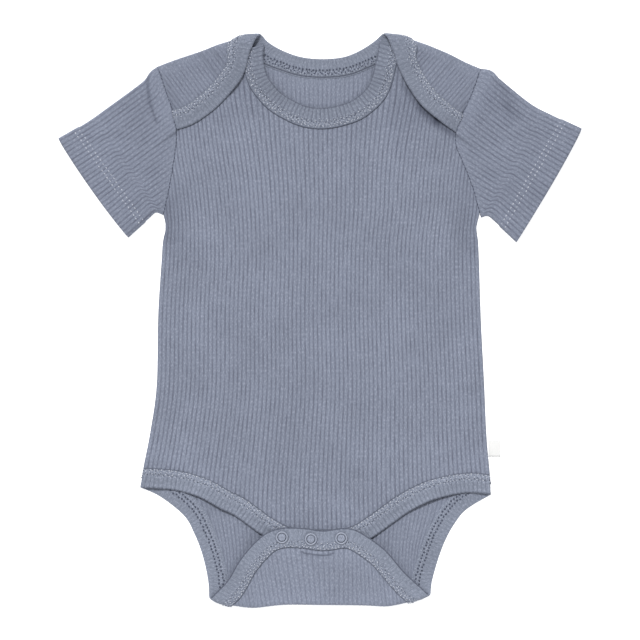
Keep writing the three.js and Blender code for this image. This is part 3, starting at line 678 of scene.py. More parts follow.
# %% Laps
def lap_grid(half, fold_x):
    """The shoulder fold, and a lap's rows from its edge to the fold and to the armhole beside it"""
    start, direction = half["neck_point"], half["shoulderward"]
    fold = start + direction * ((fold_x - start[0]) / direction[0])[:, None]
    from_neck = np.linalg.norm(fold - start, axis=1)
    fold = fold - half["inward"] * out_at(half["shoulder_out"], from_neck)[:, None]
    thick = half_at(from_neck - BAND)
    roll = roll_over(fold, half["inward"], thick, lap_cloth(*fold.T, thick))
    rib = np.array([0.0, 1.0])
    rib = 2 * (rib @ direction) * direction - rib  # the ribs of the back, mirrored at the fold
    away = np.array([-rib[1], rib[0]])
    away = away if away @ direction > 0 else -away
    tops = roll[-1, :, :2]
    first = tops[0] if from_neck[0] > from_neck[-1] else tops[-1]
    pitch = abs((tops[1] - tops[0]) @ away)
    beyond = half["armhole"][: half["corner"] + 1]
    across = np.arange(first @ away + pitch, beyond[-1] @ away - 0.5 * pitch, pitch)
    beyond = read_off(across, beyond @ away, beyond)
    edge = beside(half["lap"], PANEL_UNDER)
    edge = edge[np.argsort(edge @ away)]

    def rows_from(plan, high):
        reach = np.interp(plan @ away, edge @ away, edge @ rib) - plan @ rib
        t = np.linspace(1, 0, LAP_ROWS)[:, None, None]
        xy = plan + rib * np.maximum(reach, SHORTEST)[:, None] * t
        x, y = xy[..., 0], xy[..., 1]
        lying = lap_cloth(x, y, PLAIN_HALF)
        bound_here = lying + bound_in([band_middle(half["lap"])], x, y)
        z = np.maximum(blend(high, bound_here, ease(1.4 * t[..., 0])), lying)
        return np.stack([x, y, z], axis=2)

    return roll, rows_from(tops, roll[-1, :, 2]), rows_from(beyond, lap_cloth(*beyond.T, PLAIN_HALF))

# %% Body and flap
def body_rows(y_top, y_bottom, z_top, z_bottom):
    y = blend(y_top, y_bottom, np.linspace(0, 1, BODY_ROWS)[:, None])
    x = back_x(share, y)
    z = PLAIN_HALF + bound_in(BACK_BANDS, x, y)
    z = np.maximum(z, blend(z_top, PLAIN_HALF, ease((y_top - y) / FOLD_SLOPE)))
    z = np.maximum(z, blend(z_bottom, PLAIN_HALF, ease((y - y_bottom) / FOLD_SLOPE)))
    return np.stack([x, y, z], axis=2)


def flap_rows(foot):
    """The flap, from the crotch fold up to its edge, and how far each point is from the tuck in it"""
    edge = rising(beside(flap, PANEL_UNDER))
    start_x, start_y = foot[:, 0], foot[:, 1]
    lean = FLAP_LEAN * (1 - hump(start_x, 18, 25))
    ends = start_y
    for _ in range(6):
        ends = np.interp(start_x - lean * (ends - start_y), *edge.T)
        ends = np.maximum(ends, start_y + SHORTEST)
    y = blend(start_y, ends, np.linspace(0, 1, FLAP_ROWS)[:, None])
    x = start_x - lean * (y - start_y)
    from_tuck = distance_to([tuck], x, y)
    z = flap_middle(x, y) + 0.35 * hump(from_tuck, 0.9, 0.6)
    return np.stack([x, y, z], axis=2), from_tuck

# %% The whole back
def back_points():
    """The middle of the back's cloth, its ribs, the length along them, their height, painted light and
    shade
    """
    corners = [half["neck_point"] + 6 * half["shoulderward"] for half in (right, left)]
    neck_line = beside(back_neck, PANEL_UNDER)[NECK_END:-NECK_END]
    head = rising(np.vstack([right["shoulder"], corners[0], neck_line, corners[1], left["shoulder"]]))
    leg_lines = [beside(half["leg"], PANEL_UNDER) for half in (right, left)]
    fold_line = crotch_fold[CROTCH_END:-CROTCH_END]
    foot = rising(np.vstack([leg_lines[0], fold_line, leg_lines[1][::-1]]))
    top_y = meets(head, 150, 215, back_x)
    foot_y = meets(foot, -208, -60, back_x)
    top_x, foot_x = back_x(share, top_y), back_x(share, foot_y)
    z_top, z_bottom = np.full((2, len(share)), PLAIN_HALF + LAYER)

    laps = {}
    for name, half in halves.items():
        neck_x = (half["neck_point"] + PANEL_UNDER * half["shoulderward"])[0]
        on_fold = np.flatnonzero(top_x * half["sign"] >= neck_x * half["sign"])
        laps[name] = (on_fold, *lap_grid(half, top_x[on_fold]))
        top_y[on_fold], z_top[on_fold] = laps[name][1][0, :, 1:].T

    ends_x = crotch_fold[[CROTCH_END, -CROTCH_END], 0]
    on_crotch = np.flatnonzero((foot_x > ends_x[0]) & (foot_x < ends_x[1]))
    fold = np.column_stack([foot_x[on_crotch], np.interp(foot_x[on_crotch], *crotch_fold.T)])
    thick = half_at(CROTCH_BAND_AT - np.abs(fold[:, 0]))
    crotch = roll_over(fold, np.array([0.0, 1.0]), thick, flap_middle(*fold.T))
    foot_y[on_crotch], z_bottom[on_crotch] = crotch[0, :, 1:].T
    flap_cloth, from_tuck = flap_rows(crotch[-1])

    # lay them all in one grid, where neighbours share a row; a lap is wider than the fold it hangs from
    first = laps["right"][3].shape[1]
    last = first + len(share)
    rows = LAP_ROWS + len(ROLL) + BODY_ROWS + len(ROLL) + FLAP_ROWS - 4
    grid = np.full((rows, last + laps["left"][3].shape[1], 3), np.nan)

    def lay(row, block, columns):
        grid[row: row + len(block), columns] = block
        return row + len(block) - 1

    for on_fold, roll, lap, _ in laps.values():
        row = lay(lay(0, lap, on_fold + first), roll[::-1], on_fold + first)
    lay(0, laps["right"][3][:, ::-1], slice(0, first))
    lay(0, laps["left"][3], slice(last, None))
    row = lay(row, body_rows(top_y, foot_y, z_top, z_bottom), slice(first, last))
    row = lay(row, crotch, on_crotch + first)
    lay(row, flap_cloth, on_crotch + first)

    phase = (np.arange(grid.shape[1]) - first) / RIB_STEPS
    steps = np.nan_to_num(np.linalg.norm(np.diff(grid, axis=0), axis=2))
    along = np.vstack([np.zeros((1, grid.shape[1])), np.cumsum(steps, axis=0)])
    along -= along[LAP_ROWS + len(ROLL) + BODY_ROWS // 2]
    rib, tone = np.full((rows, 1), BACK_RIB), np.ones((rows, 1))
    over_fold, on_flap = LAP_ROWS + len(ROLL), slice(-FLAP_ROWS - 2, None)
    rib[:over_fold], tone[:over_fold] = LAP_RIB, LAP_PAINTED_SHADE
    rib[LAP_ROWS - 3: over_fold] = FOLD_RIB
    rib[on_flap], tone[on_flap] = FLAP_RIB, FLAP_PAINTED_LIGHT
    # painted shade along the tuck in the flap, below its snaps
    painted_shade = np.zeros(grid.shape[:2])
    painted_shade[-FLAP_ROWS:, on_crotch + first] = 0.75 * (1 - ease((from_tuck - 0.1) / 1.0))
    return grid, phase, along, rib, tone, painted_shade

# %% [markdown]
# ## The sleeves
#
# A sleeve is a tube that lies flat, so its grid goes round: along the upper face from the top fold to the
# underarm, round that edge and back along the lower face. Its ribs run parallel to the top fold, from the
# hem to the armhole. The hem is turned in, so the wall is twice as thick there, and a soft crease
# runs beside the armhole, over the seam allowance inside.

# %% Sleeves
SLEEVE_RIBS = 27
SLEEVE_ROWS = 56
SLEEVE_ROLL = 1.3  # half the air inside a sleeve
EDGE_ROUND = 4.5  # how far from its two long edges it is rounded
SEAM_RISE = 0.32  # the part of its length in which it rises to the armhole
HEM_CLOTH = 1.9  # thickness of the hem
HEM_TURN = 15.0  # how far it is turned in
HEM_BOW = 1.8  # how far it bows out between its corners
SEAM_RIB = 0.4  # how much of the ribs is left beside the armhole, where the seam stretches them
# painted shade: the sleeves are painted darker, for how the light falls on them
SLEEVE_PAINTED_SHADE = 0.94
SLEEVE_TUCK = 0.15  # how far a sleeve's edge goes into the seam
SLEEVE_CREASES = [  # rows like those of CREASES, and the same for the shadows
    (-158, 128, -128, 146, 4, 0.8), (-140, 84, -116, 97, 5, 0.7), (-126, 70, -108, 90, 4, 0.7),
    (-150, 108, -126, 120, 6, 0.35), (118, 160, 110, 140, 6, 0.9), (128, 152, 143, 140, 4.5, -0.9),
    (-119.6, 169, -114.4, 140, 1.7, -0.7), (136, 142, 112, 132, 5, 0.6), (150, 104, 124, 116, 6, 0.4),
    (138, 76, 114, 96, 5, 0.7),
]
SLEEVE_SHADOWS = [
    (-120.6, 171, -114.2, 138, 1.1, 0.55), (129, 152, 141, 141, 3.0, 0.22),
    (126, 170, 114, 136, 8.0, 0.16), (134, 168, 131, 138, 8.0, 0.20),
]

# %% One sleeve
def sleeve_points(half):
    """The middle of a sleeve's cloth, its ribs, the length along them, the thickness and the shadows"""
    top, under, hole = half["sleeve_top"], half["sleeve_under"], half["armhole"]
    hem_top, hem_under = top[-1], under[-1]
    axis, down = unit(top[0] - hem_top), unit(hem_under - hem_top)
    from_plan = np.linalg.inv(np.array([axis, down]))

    def local(line):
        """Along the ribs from the hem, and down the hem"""
        return ((line - hem_top) @ from_plan).T

    top_a, top_v = local(top[::-1])
    under_a, under_v = local(under[::-1])
    hole_a, hole_v = local(hole)
    order = np.argsort(hole_v)

    def v_of(part, a):
        return blend(np.interp(a, top_a, top_v), np.interp(a, under_a, under_v), part)

    def in_seam(a):
        return a > np.interp(v_of(part, a), hole_v[order], hole_a[order]) + SLEEVE_TUCK

    part = np.linspace(0, 1, SLEEVE_RIBS * RIB_STEPS + 1)
    seam_a = turning_point(np.zeros(part.shape), np.full(part.shape, 1.3 * top_a[-1]), in_seam)
    t = np.linspace(0, 1, SLEEVE_ROWS)[:, None]
    slack = 0.5 if half is left else 0.0
    a = blend(-0.5 - HEM_BOW * np.sin(np.pi * part) ** 0.6 * (1 - slack * part), seam_a, t)
    v = v_of(np.broadcast_to(part, a.shape), a)
    plan = hem_top + a[..., None] * axis + v[..., None] * down
    x, y = plan[..., 0], plan[..., 1]
    thick = blend(CLOTH, HEM_CLOTH, 1 - ease((a - HEM_TURN) / 1.2))
    low_z = thick / 2
    free = low_z + 2 * SLEEVE_ROLL + 0.35 * waving(x * 1.3, y * 1.3) + creases_at(x, y, SLEEVE_CREASES)
    seam_x, seam_y = x[-1], y[-1]
    lap_part = ease((seam_y - hole[half["corner"], 1] + 3) / 4)
    on_lap = lap_cloth(seam_x, seam_y, PLAIN_HALF) + bound_in([band_middle(half["lap"])], seam_x, seam_y)
    at_seam = blend(front_middle(seam_x, seam_y), on_lap, lap_part)
    high_z = blend(at_seam, free, ease((1 - t) / SEAM_RISE)) + 0.5 * hump((1 - t) * 60, 7, 5.0)
    from_edge = np.minimum(part, 1 - part) * np.linalg.norm(hem_under - hem_top)
    rounded = np.sqrt(np.clip(1 - (1 - np.minimum(from_edge / EDGE_ROUND, 1)) ** 2, 0, 1))
    middle_z = (high_z + low_z) / 2
    upper = middle_z + (high_z - middle_z) * rounded
    lower = middle_z - (middle_z - low_z) * rounded

    def all_round(above, below):
        """The upper face, then the lower one on the way back"""
        return np.concatenate([above, below[:, -2:0:-1]], axis=1)

    grid = all_round(np.stack([x, y, upper], axis=2), np.stack([x, y, lower], axis=2))
    phase = np.broadcast_to(np.arange(grid.shape[1]) / RIB_STEPS, grid.shape[:2])
    painted_shade = creases_at(grid[..., 0], grid[..., 1], SLEEVE_SHADOWS)
    return grid, phase, all_round(a, a), all_round(thick, thick), painted_shade

# %% [markdown]
# ## The knit's finish
#
# The yarn is a heather: grey-blue fibres with paler ones spun in. Three things make the cloth look
# knitted. The grooves between the ribs are painted darker, as shade, because little light gets down into
# them. Every rib is two columns of V-shaped loops, which a bump shows, and which are painted darker
# between them, as shade. And pale fibres lie along the yarn as short flecks.
# All of it reads the Knit UV map, so that it bends and folds with the cloth. Beside these, some pieces
# carry painted light and shade in their attributes: a tone that makes the whole piece lighter or darker
# for how the light falls on it, and painted shadows.

# %% Node helpers
class Nodes:
    """A node tree and short ways to add to it. A value that is another node's output is linked."""

    def __init__(self, tree):
        self.tree = tree

    def feed(self, sockets, values):
        for socket, value in zip(sockets, values):
            if isinstance(value, bpy.types.NodeSocket):
                self.tree.links.new(value, socket)
            elif value is not None:
                socket.default_value = value

    def add(self, kind, *values, named=None, **settings):
        node = self.tree.nodes.new(kind)
        for name, value in settings.items():
            setattr(node, name, value)
        self.feed(node.inputs, values)
        named = named or {}
        self.feed([node.inputs[name] for name in named], named.values())
        return node

    def out(self, kind, *values, **settings):
        return self.add(kind, *values, **settings).outputs[0]

    def maths(self, operation, *values):
        return self.out("ShaderNodeMath", *values, operation=operation)

    def times(self, first, *others):
        for other in others:
            first = self.maths("MULTIPLY", first, other)
        return first

    def ranged(self, value, *ends):
        """The value, carried from its first two ends onto the last two"""
        return self.out("ShaderNodeMapRange", value, *ends)

    def noise(self, where, *values, **settings):
        """values are its scale, detail and roughness"""
        return self.add("ShaderNodeTexNoise", where, None, *values, **settings).outputs["Fac"]

    def attribute(self, name):
        return self.add("ShaderNodeAttribute", attribute_name=name).outputs["Fac"]

    def place(self):
        return self.add("ShaderNodeTexCoord").outputs["Object"]

    def mixed(self, factor, first, second, blend_type="MIX"):
        node = self.add("ShaderNodeMix", data_type="RGBA", blend_type=blend_type)
        sockets = {s.identifier: s for s in [*node.inputs, *node.outputs]}
        self.feed((sockets[s] for s in ("Factor_Float", "A_Color", "B_Color")), (factor, first, second))
        return sockets["Result_Color"]

    def finish(self, constants, base=None, height=None, strength=0.0, depth=0.0):
        """Set up the shader: its constants, its colour, and a bump some millimetres deep"""
        shader = self.tree.nodes["Principled BSDF"].inputs
        if height is not None:
            bump = {"Strength": strength, "Distance": depth * MM, "Height": height}
            constants = {"Base Color": base, "Normal": self.out("ShaderNodeBump", named=bump)} | constants
        self.feed([shader[name] for name in constants], constants.values())


def new_material(name):
    material = bpy.data.materials.new(name)
    material.use_nodes = True
    print("material:", name)
    return material, Nodes(material.node_tree)

# %% Knit materials
COURSE = 0.9  # height of one row of loops
# painted shade: the colour that painted shade and painted shadows darken the cloth and the snaps towards
PAINTED_SHADE_COLOUR = (0.045, 0.052, 0.080, 1.0)


def knit_material(name, colour, groove, pale=(0.40, 0.43, 0.53, 1.0)):
    material, nodes = new_material(name)
    uv = nodes.out("ShaderNodeUVMap", uv_map="Knit")
    ribs, along = nodes.add("ShaderNodeSeparateXYZ", uv).outputs[:2]
    place = nodes.place()

    crest = nodes.maths("ABSOLUTE", nodes.maths("SINE", nodes.times(ribs, math.pi)))
    depth = nodes.maths("SUBTRACT", 1.0, nodes.maths("POWER", crest, 0.55))
    uneven = nodes.out("ShaderNodeMapping", uv, None, None, (0.9, 0.09, 1.0))
    uneven = nodes.ranged(nodes.noise(uneven, 1.0, 2.0, 0.6, noise_dimensions="2D"), 0.3, 0.7, 0.55, 1.3)
    shade = nodes.times(depth, uneven, nodes.attribute("relief"))

    wale = nodes.maths("FRACT", nodes.times(ribs, 2.0))
    leg = nodes.maths("ABSOLUTE", nodes.maths("SUBTRACT", wale, 0.5))
    loop = nodes.maths("FRACT", nodes.maths("ADD", nodes.times(along, 1 / COURSE), leg))
    loop = nodes.maths("SINE", nodes.times(loop, math.pi))

    fleck = nodes.out("ShaderNodeMapping", uv, None, None, (4.0, 0.55, 1.0))
    fleck = nodes.noise(fleck, 1.0, 2.0, 0.6, noise_dimensions="2D")
    base = nodes.mixed(nodes.times(nodes.ranged(fleck, 0.52, 0.78, 0.0, 1.0), 0.75), colour, pale)
    dark = tuple(c * 0.62 for c in colour[:3]) + (1.0,)
    base = nodes.mixed(nodes.times(nodes.ranged(fleck, 0.46, 0.24, 0.0, 1.0), 0.55), base, dark)
    cloud = nodes.ranged(nodes.noise(place, 28.0, 3.0, 0.55), 0.3, 0.7, 0.93, 1.07)
    # painted shade between the loops, the yarn's own uneven tone, and the tone attribute's painted light
    # and shade
    tone = nodes.times(nodes.ranged(loop, 0.0, 1.0, 0.84, 1.06), cloud, nodes.attribute("tone"))
    base = nodes.mixed(1.0, base, nodes.out("ShaderNodeCombineColor", tone, tone, tone), "MULTIPLY")
    base = nodes.mixed(shade, base, groove)
    # painted shade and painted shadows, from each piece's crease attribute
    base = nodes.mixed(nodes.times(nodes.attribute("crease"), 0.8), base, PAINTED_SHADE_COLOUR)

    fuzz = nodes.noise(place, 1500.0, 3.0, 0.7)
    height = nodes.maths("ADD", nodes.times(loop, 0.6), nodes.times(fuzz, 0.5))
    look = {"Roughness": 0.92, "Specular IOR Level": 0.15, "Sheen Weight": 0.22, "Sheen Roughness": 0.55,
            "Sheen Tint": (0.75, 0.8, 0.95, 1.0)}
    nodes.finish(look, base, height, 0.55, 0.35)
    return material


rib_knit = knit_material("Rib knit", (0.240, 0.267, 0.344, 1.0), (0.115, 0.126, 0.172, 1.0))
rib_binding = knit_material("Rib binding", (0.228, 0.255, 0.322, 1.0), (0.110, 0.122, 0.165, 1.0))

# %% Body and sleeves
front = front_points()
front_painted_shade = creases_at(front[..., 0], front[..., 1], FRONT_SHADOWS)
back, phase, along, rib, tone, painted_shade = back_points()
pieces = {
    "front": cloth_shell("knit_front", front, body_phase, -front[..., 1], rib_knit, painted_shade=front_painted_shade),
    "back": cloth_shell("knit_back", back, phase, along, rib_knit, rib=rib, tone=tone, painted_shade=painted_shade),
}
sleeve_grids = {}
for side, half in halves.items():
    name = "sleeve_" + side
    points, phase, along, thick, painted_shade = sleeve_points(half)
    sleeve_grids[name] = (points, along, thick)
    to_seam = np.linspace(1, 0, len(points))[:, None]
    rib = RIB_HEIGHT * blend(SEAM_RIB, 1, ease((to_seam - 0.03) / 0.16))
    pieces[name] = cloth_shell("knit_" + name, points, phase, along, rib_knit, thick, rib, ring=True,
                               painted_shade=painted_shade, tone=SLEEVE_PAINTED_SHADE)

# %% [markdown]
# ## The bindings
#
# A binding is a strip of the same knit, folded round the raw edge and sewn down with a coverstitch. Its
# ribs run across it, so a sweep along the edge makes it: at every step along the edge stands one U-shaped
# section, which is again a grid of cloth. Two of the bindings run on over a fold, from the back of
# the neck onto a lap, and from the back of a leg onto the flap. There the flat plan bends round a
# rod, just as the panel under it does.

# %% Binding sections
BAND_CLOTH = 0.8  # a binding's own cloth is stretched, and so is thinner
BAND_PUFF = 0.2  # how far it swells between its rows of stitches
BEND_THINNER = 0.7  # there are two layers at the bend, and three under the stitches
NEEDLE_ROWS = (9.2, 13.0)  # the two rows of needle stitches, from the bend
BAND_STEP = BAND_RIB / RIB_STEPS
INSIDE_SINK = 0.55  # inside, a binding's edge is pressed down into the cloth
WALL_AT = BAND_HALF - BAND_CLOTH / 2


def thinner(s):
    """How much thinner the binding is than where the panel's edge is inside it"""
    return BEND_THINNER * (1 - ease((s - 3.5) / 5.5))


def wall_height(s):
    """How far the wall of a binding stands off the middle of the bound edge"""
    dips = sum(0.3 * hump(s, row, 0.7) for row in NEEDLE_ROWS)
    puffs = hump(s, np.mean(NEEDLE_ROWS), 1.3) + hump(s, 5.0, 2.6)
    return WALL_AT - BAND_PUFF + BAND_PUFF * puffs - dips - thinner(s)


def band_section():
    flat = np.concatenate([np.arange(BAND, 8.0, -0.5), np.arange(8.0, BAND_BEND, -0.8), [BAND_BEND]])
    turn = np.radians(np.linspace(90, -90, 11))[1:-1]
    round_s = BAND_BEND * (1 - np.cos(turn)) + 0.35
    start = wall_height(BAND_BEND)
    s = np.concatenate([flat, round_s, flat[::-1]])
    inside = wall_height(flat[::-1]) - INSIDE_SINK * ease((flat[::-1] - 11.5) / 2.5)
    h = np.concatenate([wall_height(flat), start * np.sin(turn), -inside])
    return s, h


section_s, section_h = band_section()
print("a binding's section has", len(section_s), "points")

# %% Bound stretches
def bound_front(x, y):
    return front_middle(x, y, BAND_HALF)


def bound_lap(x, y):
    return lap_cloth(x, y, BAND_HALF)


def bound_back(x, y):
    return np.full(np.shape(x), BAND_HALF)


def fold_at(start, along, inward, out, cloth):
    """A fold that bindings cross. high is how far up the cloth over it lies."""
    def high(reach):
        at = start + np.multiply.outer(reach, along)
        return cloth(at[..., 0], at[..., 1])

    return {"start": start, "along": along, "inward": inward, "out": out, "high": high}


neck_folds, crotch_folds = [], []
for half in (right, left):
    foldward = half["foldward"]
    into_flap = half["sign"] * np.array([foldward[1], -foldward[0]])
    shoulder = (half["neck_point"], half["shoulderward"], half["inward"], half["shoulder_out"])
    neck_folds.append(fold_at(*shoulder, bound_lap))
    crotch = (half["leg"]["line"][-1], foldward, into_flap, half["crotch_out"])
    crotch_folds.append(fold_at(*crotch, flap_middle))


def stretch(edge, height, facing, folds=(), backwards=False):
    """A run of binding: its edge, its height, whether its outside is up (1) or down (-1), its folds"""
    count = len(edge["line"])
    fine, known = np.linspace(0, 1, 5 * count), np.linspace(0, 1, count)
    line, into = (read_off(fine, known, edge[key])[:: -1 if backwards else 1] for key in ("line", "into"))
    return {"line": line, "into": into, "height": height, "facing": facing, "folds": folds}


def lying_at(run, plan):
    """The middle of a bound edge over each point of its plan, and the way its outside faces"""
    out = np.zeros(plan.shape[:-1] + (3,))
    out[..., 2] = run["facing"]
    middle = np.concatenate([plan, run["height"](plan[..., 0], plan[..., 1])[..., None]], axis=-1)
    for fold in run["folds"]:
        depth = np.maximum((plan - fold["start"]) @ fold["inward"], 0)
        along = (plan - fold["start"]) @ fold["along"]
        high, low = fold["high"](np.clip(along, 0, BAND + 2)), BAND_HALF
        radius, centre = (high - low) / 2, (high + low) / 2
        inset = np.sqrt(depth**2 + BAND_HALF**2)
        turned = np.clip(1 - (inset - BAND_HALF) / radius, 0, 1)
        rise = run["facing"] * np.sqrt(1 - turned**2)
        past = ease((inset - BAND_HALF - radius) / 10)
        shift = (inset - depth) * (1 - past) - out_at(fold["out"], along) * (1 - ease(depth / 9))
        level = blend(centre + radius * rise, middle[..., 2], past)
        close = depth < 40
        middle[..., :2] += np.where(close, shift, 0)[..., None] * fold["inward"]
        middle[..., 2] = np.where(close, level, middle[..., 2])
        turned_out = np.concatenate([-turned[..., None] * fold["inward"], rise[..., None]], axis=-1)
        out = np.where((turned > 0)[..., None], turned_out, out)
    return middle, out

# %% Sweeps
def swept(runs, s, h):
    """Points at distances s from the bend and heights h above the middle, all along the runs"""
    s = np.asarray(s)
    grids, outs, guides = [], [], []
    for run in runs:
        line, into = run["line"], run["into"]
        middle, out = lying_at(run, line[:, None] + into[:, None] * s[:, None])
        sunk = np.asarray(h) - thinner(s) * out[..., 2]
        grids.append(middle + out * sunk[..., None])
        outs.append(out)
        guides.append(lying_at(run, line + into * PANEL_UNDER)[0])
    along = travel(np.concatenate(guides))
    fresh = np.concatenate([[True], np.diff(along) > 1e-4])
    at = np.arange(0, along[-1], BAND_STEP)

    def evenly(blocks):
        rows = np.concatenate(blocks)[fresh].transpose(1, 0, 2)
        return np.stack([read_off(at, along[fresh], row) for row in rows])

    return evenly(grids), unit(evenly(outs))


BINDINGS = {
    "neck_binding_back": [
        stretch(right["lap"], bound_lap, 1, neck_folds[:1], backwards=True),
        stretch(back_neck, bound_back, -1, neck_folds),
        stretch(left["lap"], bound_lap, 1, neck_folds[1:]),
    ],
    "leg_binding_back": [
        stretch(right["leg"], bound_back, -1, crotch_folds[:1]),
        stretch(flap, flap_middle, 1, crotch_folds),
        stretch(left["leg"], bound_back, -1, crotch_folds[1:], backwards=True),
    ],
    "neck_binding_front": [stretch(front_neck, bound_front, 1)],
    "leg_binding_front": [stretch(front_leg, bound_front, 1)],
}

# %% Sweep the bindings
# The tone in these rows paints each binding lighter or darker for how the light falls on it, as painted
# light and shade; both shadows are painted.
BAND_LOOKS = {  # height of its ribs, tone, width, and the shadows on its bend and its stitched edge
    "neck_binding_back": (0.4, 0.93, 1.0, 0.3, 0.15),
    "leg_binding_back": (0.35, 1.05, 1.0, 0.9, 0.8),
    "neck_binding_front": (0.9, 0.92, 1.06, 0.55, 1.0),
    "leg_binding_front": (0.65, 1.11, 1.0, 0.5, 0.9),
}
for name, runs in BINDINGS.items():
    ribbed, tone, wide, bend_shadow, edge_shadow = BAND_LOOKS[name]
    grid, out = swept(runs, section_s * wide, section_h)
    phase = np.arange(grid.shape[1]) / RIB_STEPS
    along = travel(np.stack([section_s, section_h], 1))[:, None]
    pressed = 1 - 0.45 * ease((section_s - 7.6) / 1.2)  # the stitched zone is flat, so its ribs show less
    rib = ribbed * RIB_HEIGHT * pressed[:, None]
    # painted shadow along the stitched edge, where the binding lies on the cloth
    rim = edge_shadow * ease((section_s - BAND + 0.75) / 0.6) * (section_h > 0)
    if name == "neck_binding_back":
        # a thin painted shadow inside the back neck, where the binding's edge meets the cloth
        rim = rim + 0.8 * (np.abs(section_s - 12.7) < 0.6) * (section_h < 0)
    # painted shade on the binding's bend, where its outside faces up
    under_bend = (bend_shadow * (section_s < 0.9))[:, None] * (out[..., 2] > 0.6)
    painted_shade = np.maximum(rim[:, None], under_bend)
    pieces[name] = cloth_shell("knit_" + name, grid, phase, along, rib_binding, BAND_CLOTH, rib,
                               painted_shade=painted_shade, tone=tone)

# %% [markdown]
# ## Threads
#
# A coverstitch shows rows of short needle stitches outside, with a looper thread that zigzags between
# them, and much the same inside. There are hundreds, all alike, so Geometry Nodes lay them: the tree
# takes a line, puts a point on it at every stitch and stands a small spindle of thread on each point.
# Every other one swings to the other side, which makes the zigzag, and a seeded jitter makes it sewn.

# %% Thread material
def thread_material(name, colour, dark):
    material, nodes = new_material(name)
    place = nodes.place()
    tone = nodes.ranged(nodes.noise(place, 700.0, 2.0, 0.6), 0.35, 0.65, 0.0, 1.0)
    twist = nodes.add("ShaderNodeTexWave", place, 2200.0, 1.5, 2.0).outputs["Fac"]
    look = {"Roughness": 0.7, "Specular IOR Level": 0.3, "Sheen Weight": 0.3}
    nodes.finish(look, nodes.mixed(tone, dark, colour), twist, 0.4, 0.1)
    return material


light_thread = thread_material("Light thread", (0.46, 0.50, 0.60, 1.0), (0.30, 0.33, 0.42, 1.0))
# dark thread, and painted shade: its big dark dots inside the neck and the legs stand in for the shaded
# holes between the stitches
dark_thread_and_gap_shade = thread_material("Dark thread and painted gap shade", (0.085, 0.10, 0.155, 1.0), (0.045, 0.055, 0.09, 1.0))
pale_thread = thread_material("Pale thread", (0.72, 0.75, 0.82, 1.0), (0.42, 0.45, 0.54, 1.0))

# %% Stitching tree
def stitching_tree():
    tree = bpy.data.node_groups.new("Stitching", "GeometryNodeTree")
    nodes = Nodes(tree)
    for way in ("INPUT", "OUTPUT"):
        tree.interface.new_socket("Geometry", in_out=way, socket_type="NodeSocketGeometry")
    for name in ("Spacing", "Stitch length", "Thread radius", "Swing", "Slant", "Jitter"):
        tree.interface.new_socket(name, in_out="INPUT", socket_type="NodeSocketFloat")
    tree.interface.new_socket("Seed", in_out="INPUT", socket_type="NodeSocketInt")
    tree.interface.new_socket("Thread", in_out="INPUT", socket_type="NodeSocketMaterial")
    given = nodes.add("NodeGroupInput").outputs

    def scaled(vector, by):
        return nodes.out("ShaderNodeVectorMath", vector, named={"Scale": by}, operation="SCALE")

    # a point for every stitch, and the two directions across the line
    line = {"Curve": nodes.out("GeometryNodeMeshToCurve", given["Geometry"]), "Length": given["Spacing"]}
    line = nodes.out("GeometryNodeResampleCurve", named=line, mode="LENGTH")
    facing = nodes.out("GeometryNodeInputNamedAttribute", "facing", data_type="FLOAT_VECTOR")
    tangent = nodes.out("GeometryNodeInputTangent")
    side = nodes.out("ShaderNodeVectorMath", facing, tangent, operation="CROSS_PRODUCT")
    odd = nodes.maths("MODULO", nodes.out("GeometryNodeInputIndex"), 2.0)
    turn = nodes.maths("SUBTRACT", nodes.times(odd, 2.0), 1.0)

    # every other point swings to the other side, and all are shaken a little
    swing = scaled(side, nodes.times(turn, given["Swing"]))
    loose = {"Min": (-1, -1, -0.3), "Max": (1, 1, 0.3), "Seed": given["Seed"]}
    loose = nodes.out("FunctionNodeRandomValue", named=loose, data_type="FLOAT_VECTOR")
    offset = nodes.out("ShaderNodeVectorMath", swing, scaled(loose, given["Jitter"]))
    points = nodes.out("GeometryNodeSetPosition", named={"Geometry": line, "Offset": offset})
    heading = nodes.out("ShaderNodeVectorMath", tangent, scaled(side, nodes.times(turn, given["Slant"])))
    turned = nodes.out("FunctionNodeAxesToRotation", facing, heading, primary_axis="Z",
                       secondary_axis="X")

    # a spindle of thread on each
    radius = given["Thread radius"]
    size = nodes.out("ShaderNodeCombineXYZ", nodes.times(given["Stitch length"], 0.5), radius, radius)
    spindle = {"Geometry": nodes.out("GeometryNodeMeshUVSphere", 6, 5, 1.0), "Scale": size}
    spindle = nodes.out("GeometryNodeTransform", named=spindle)
    copies = {"Points": points, "Instance": spindle, "Rotation": turned}
    copies = nodes.out("GeometryNodeInstanceOnPoints", named=copies)
    real = nodes.out("GeometryNodeSetShadeSmooth", nodes.out("GeometryNodeRealizeInstances", copies))
    real = nodes.out("GeometryNodeSetMaterial", named={"Geometry": real, "Material": given["Thread"]})
    nodes.add("NodeGroupOutput", real)
    return tree


stitching = stitching_tree()
threads = {}

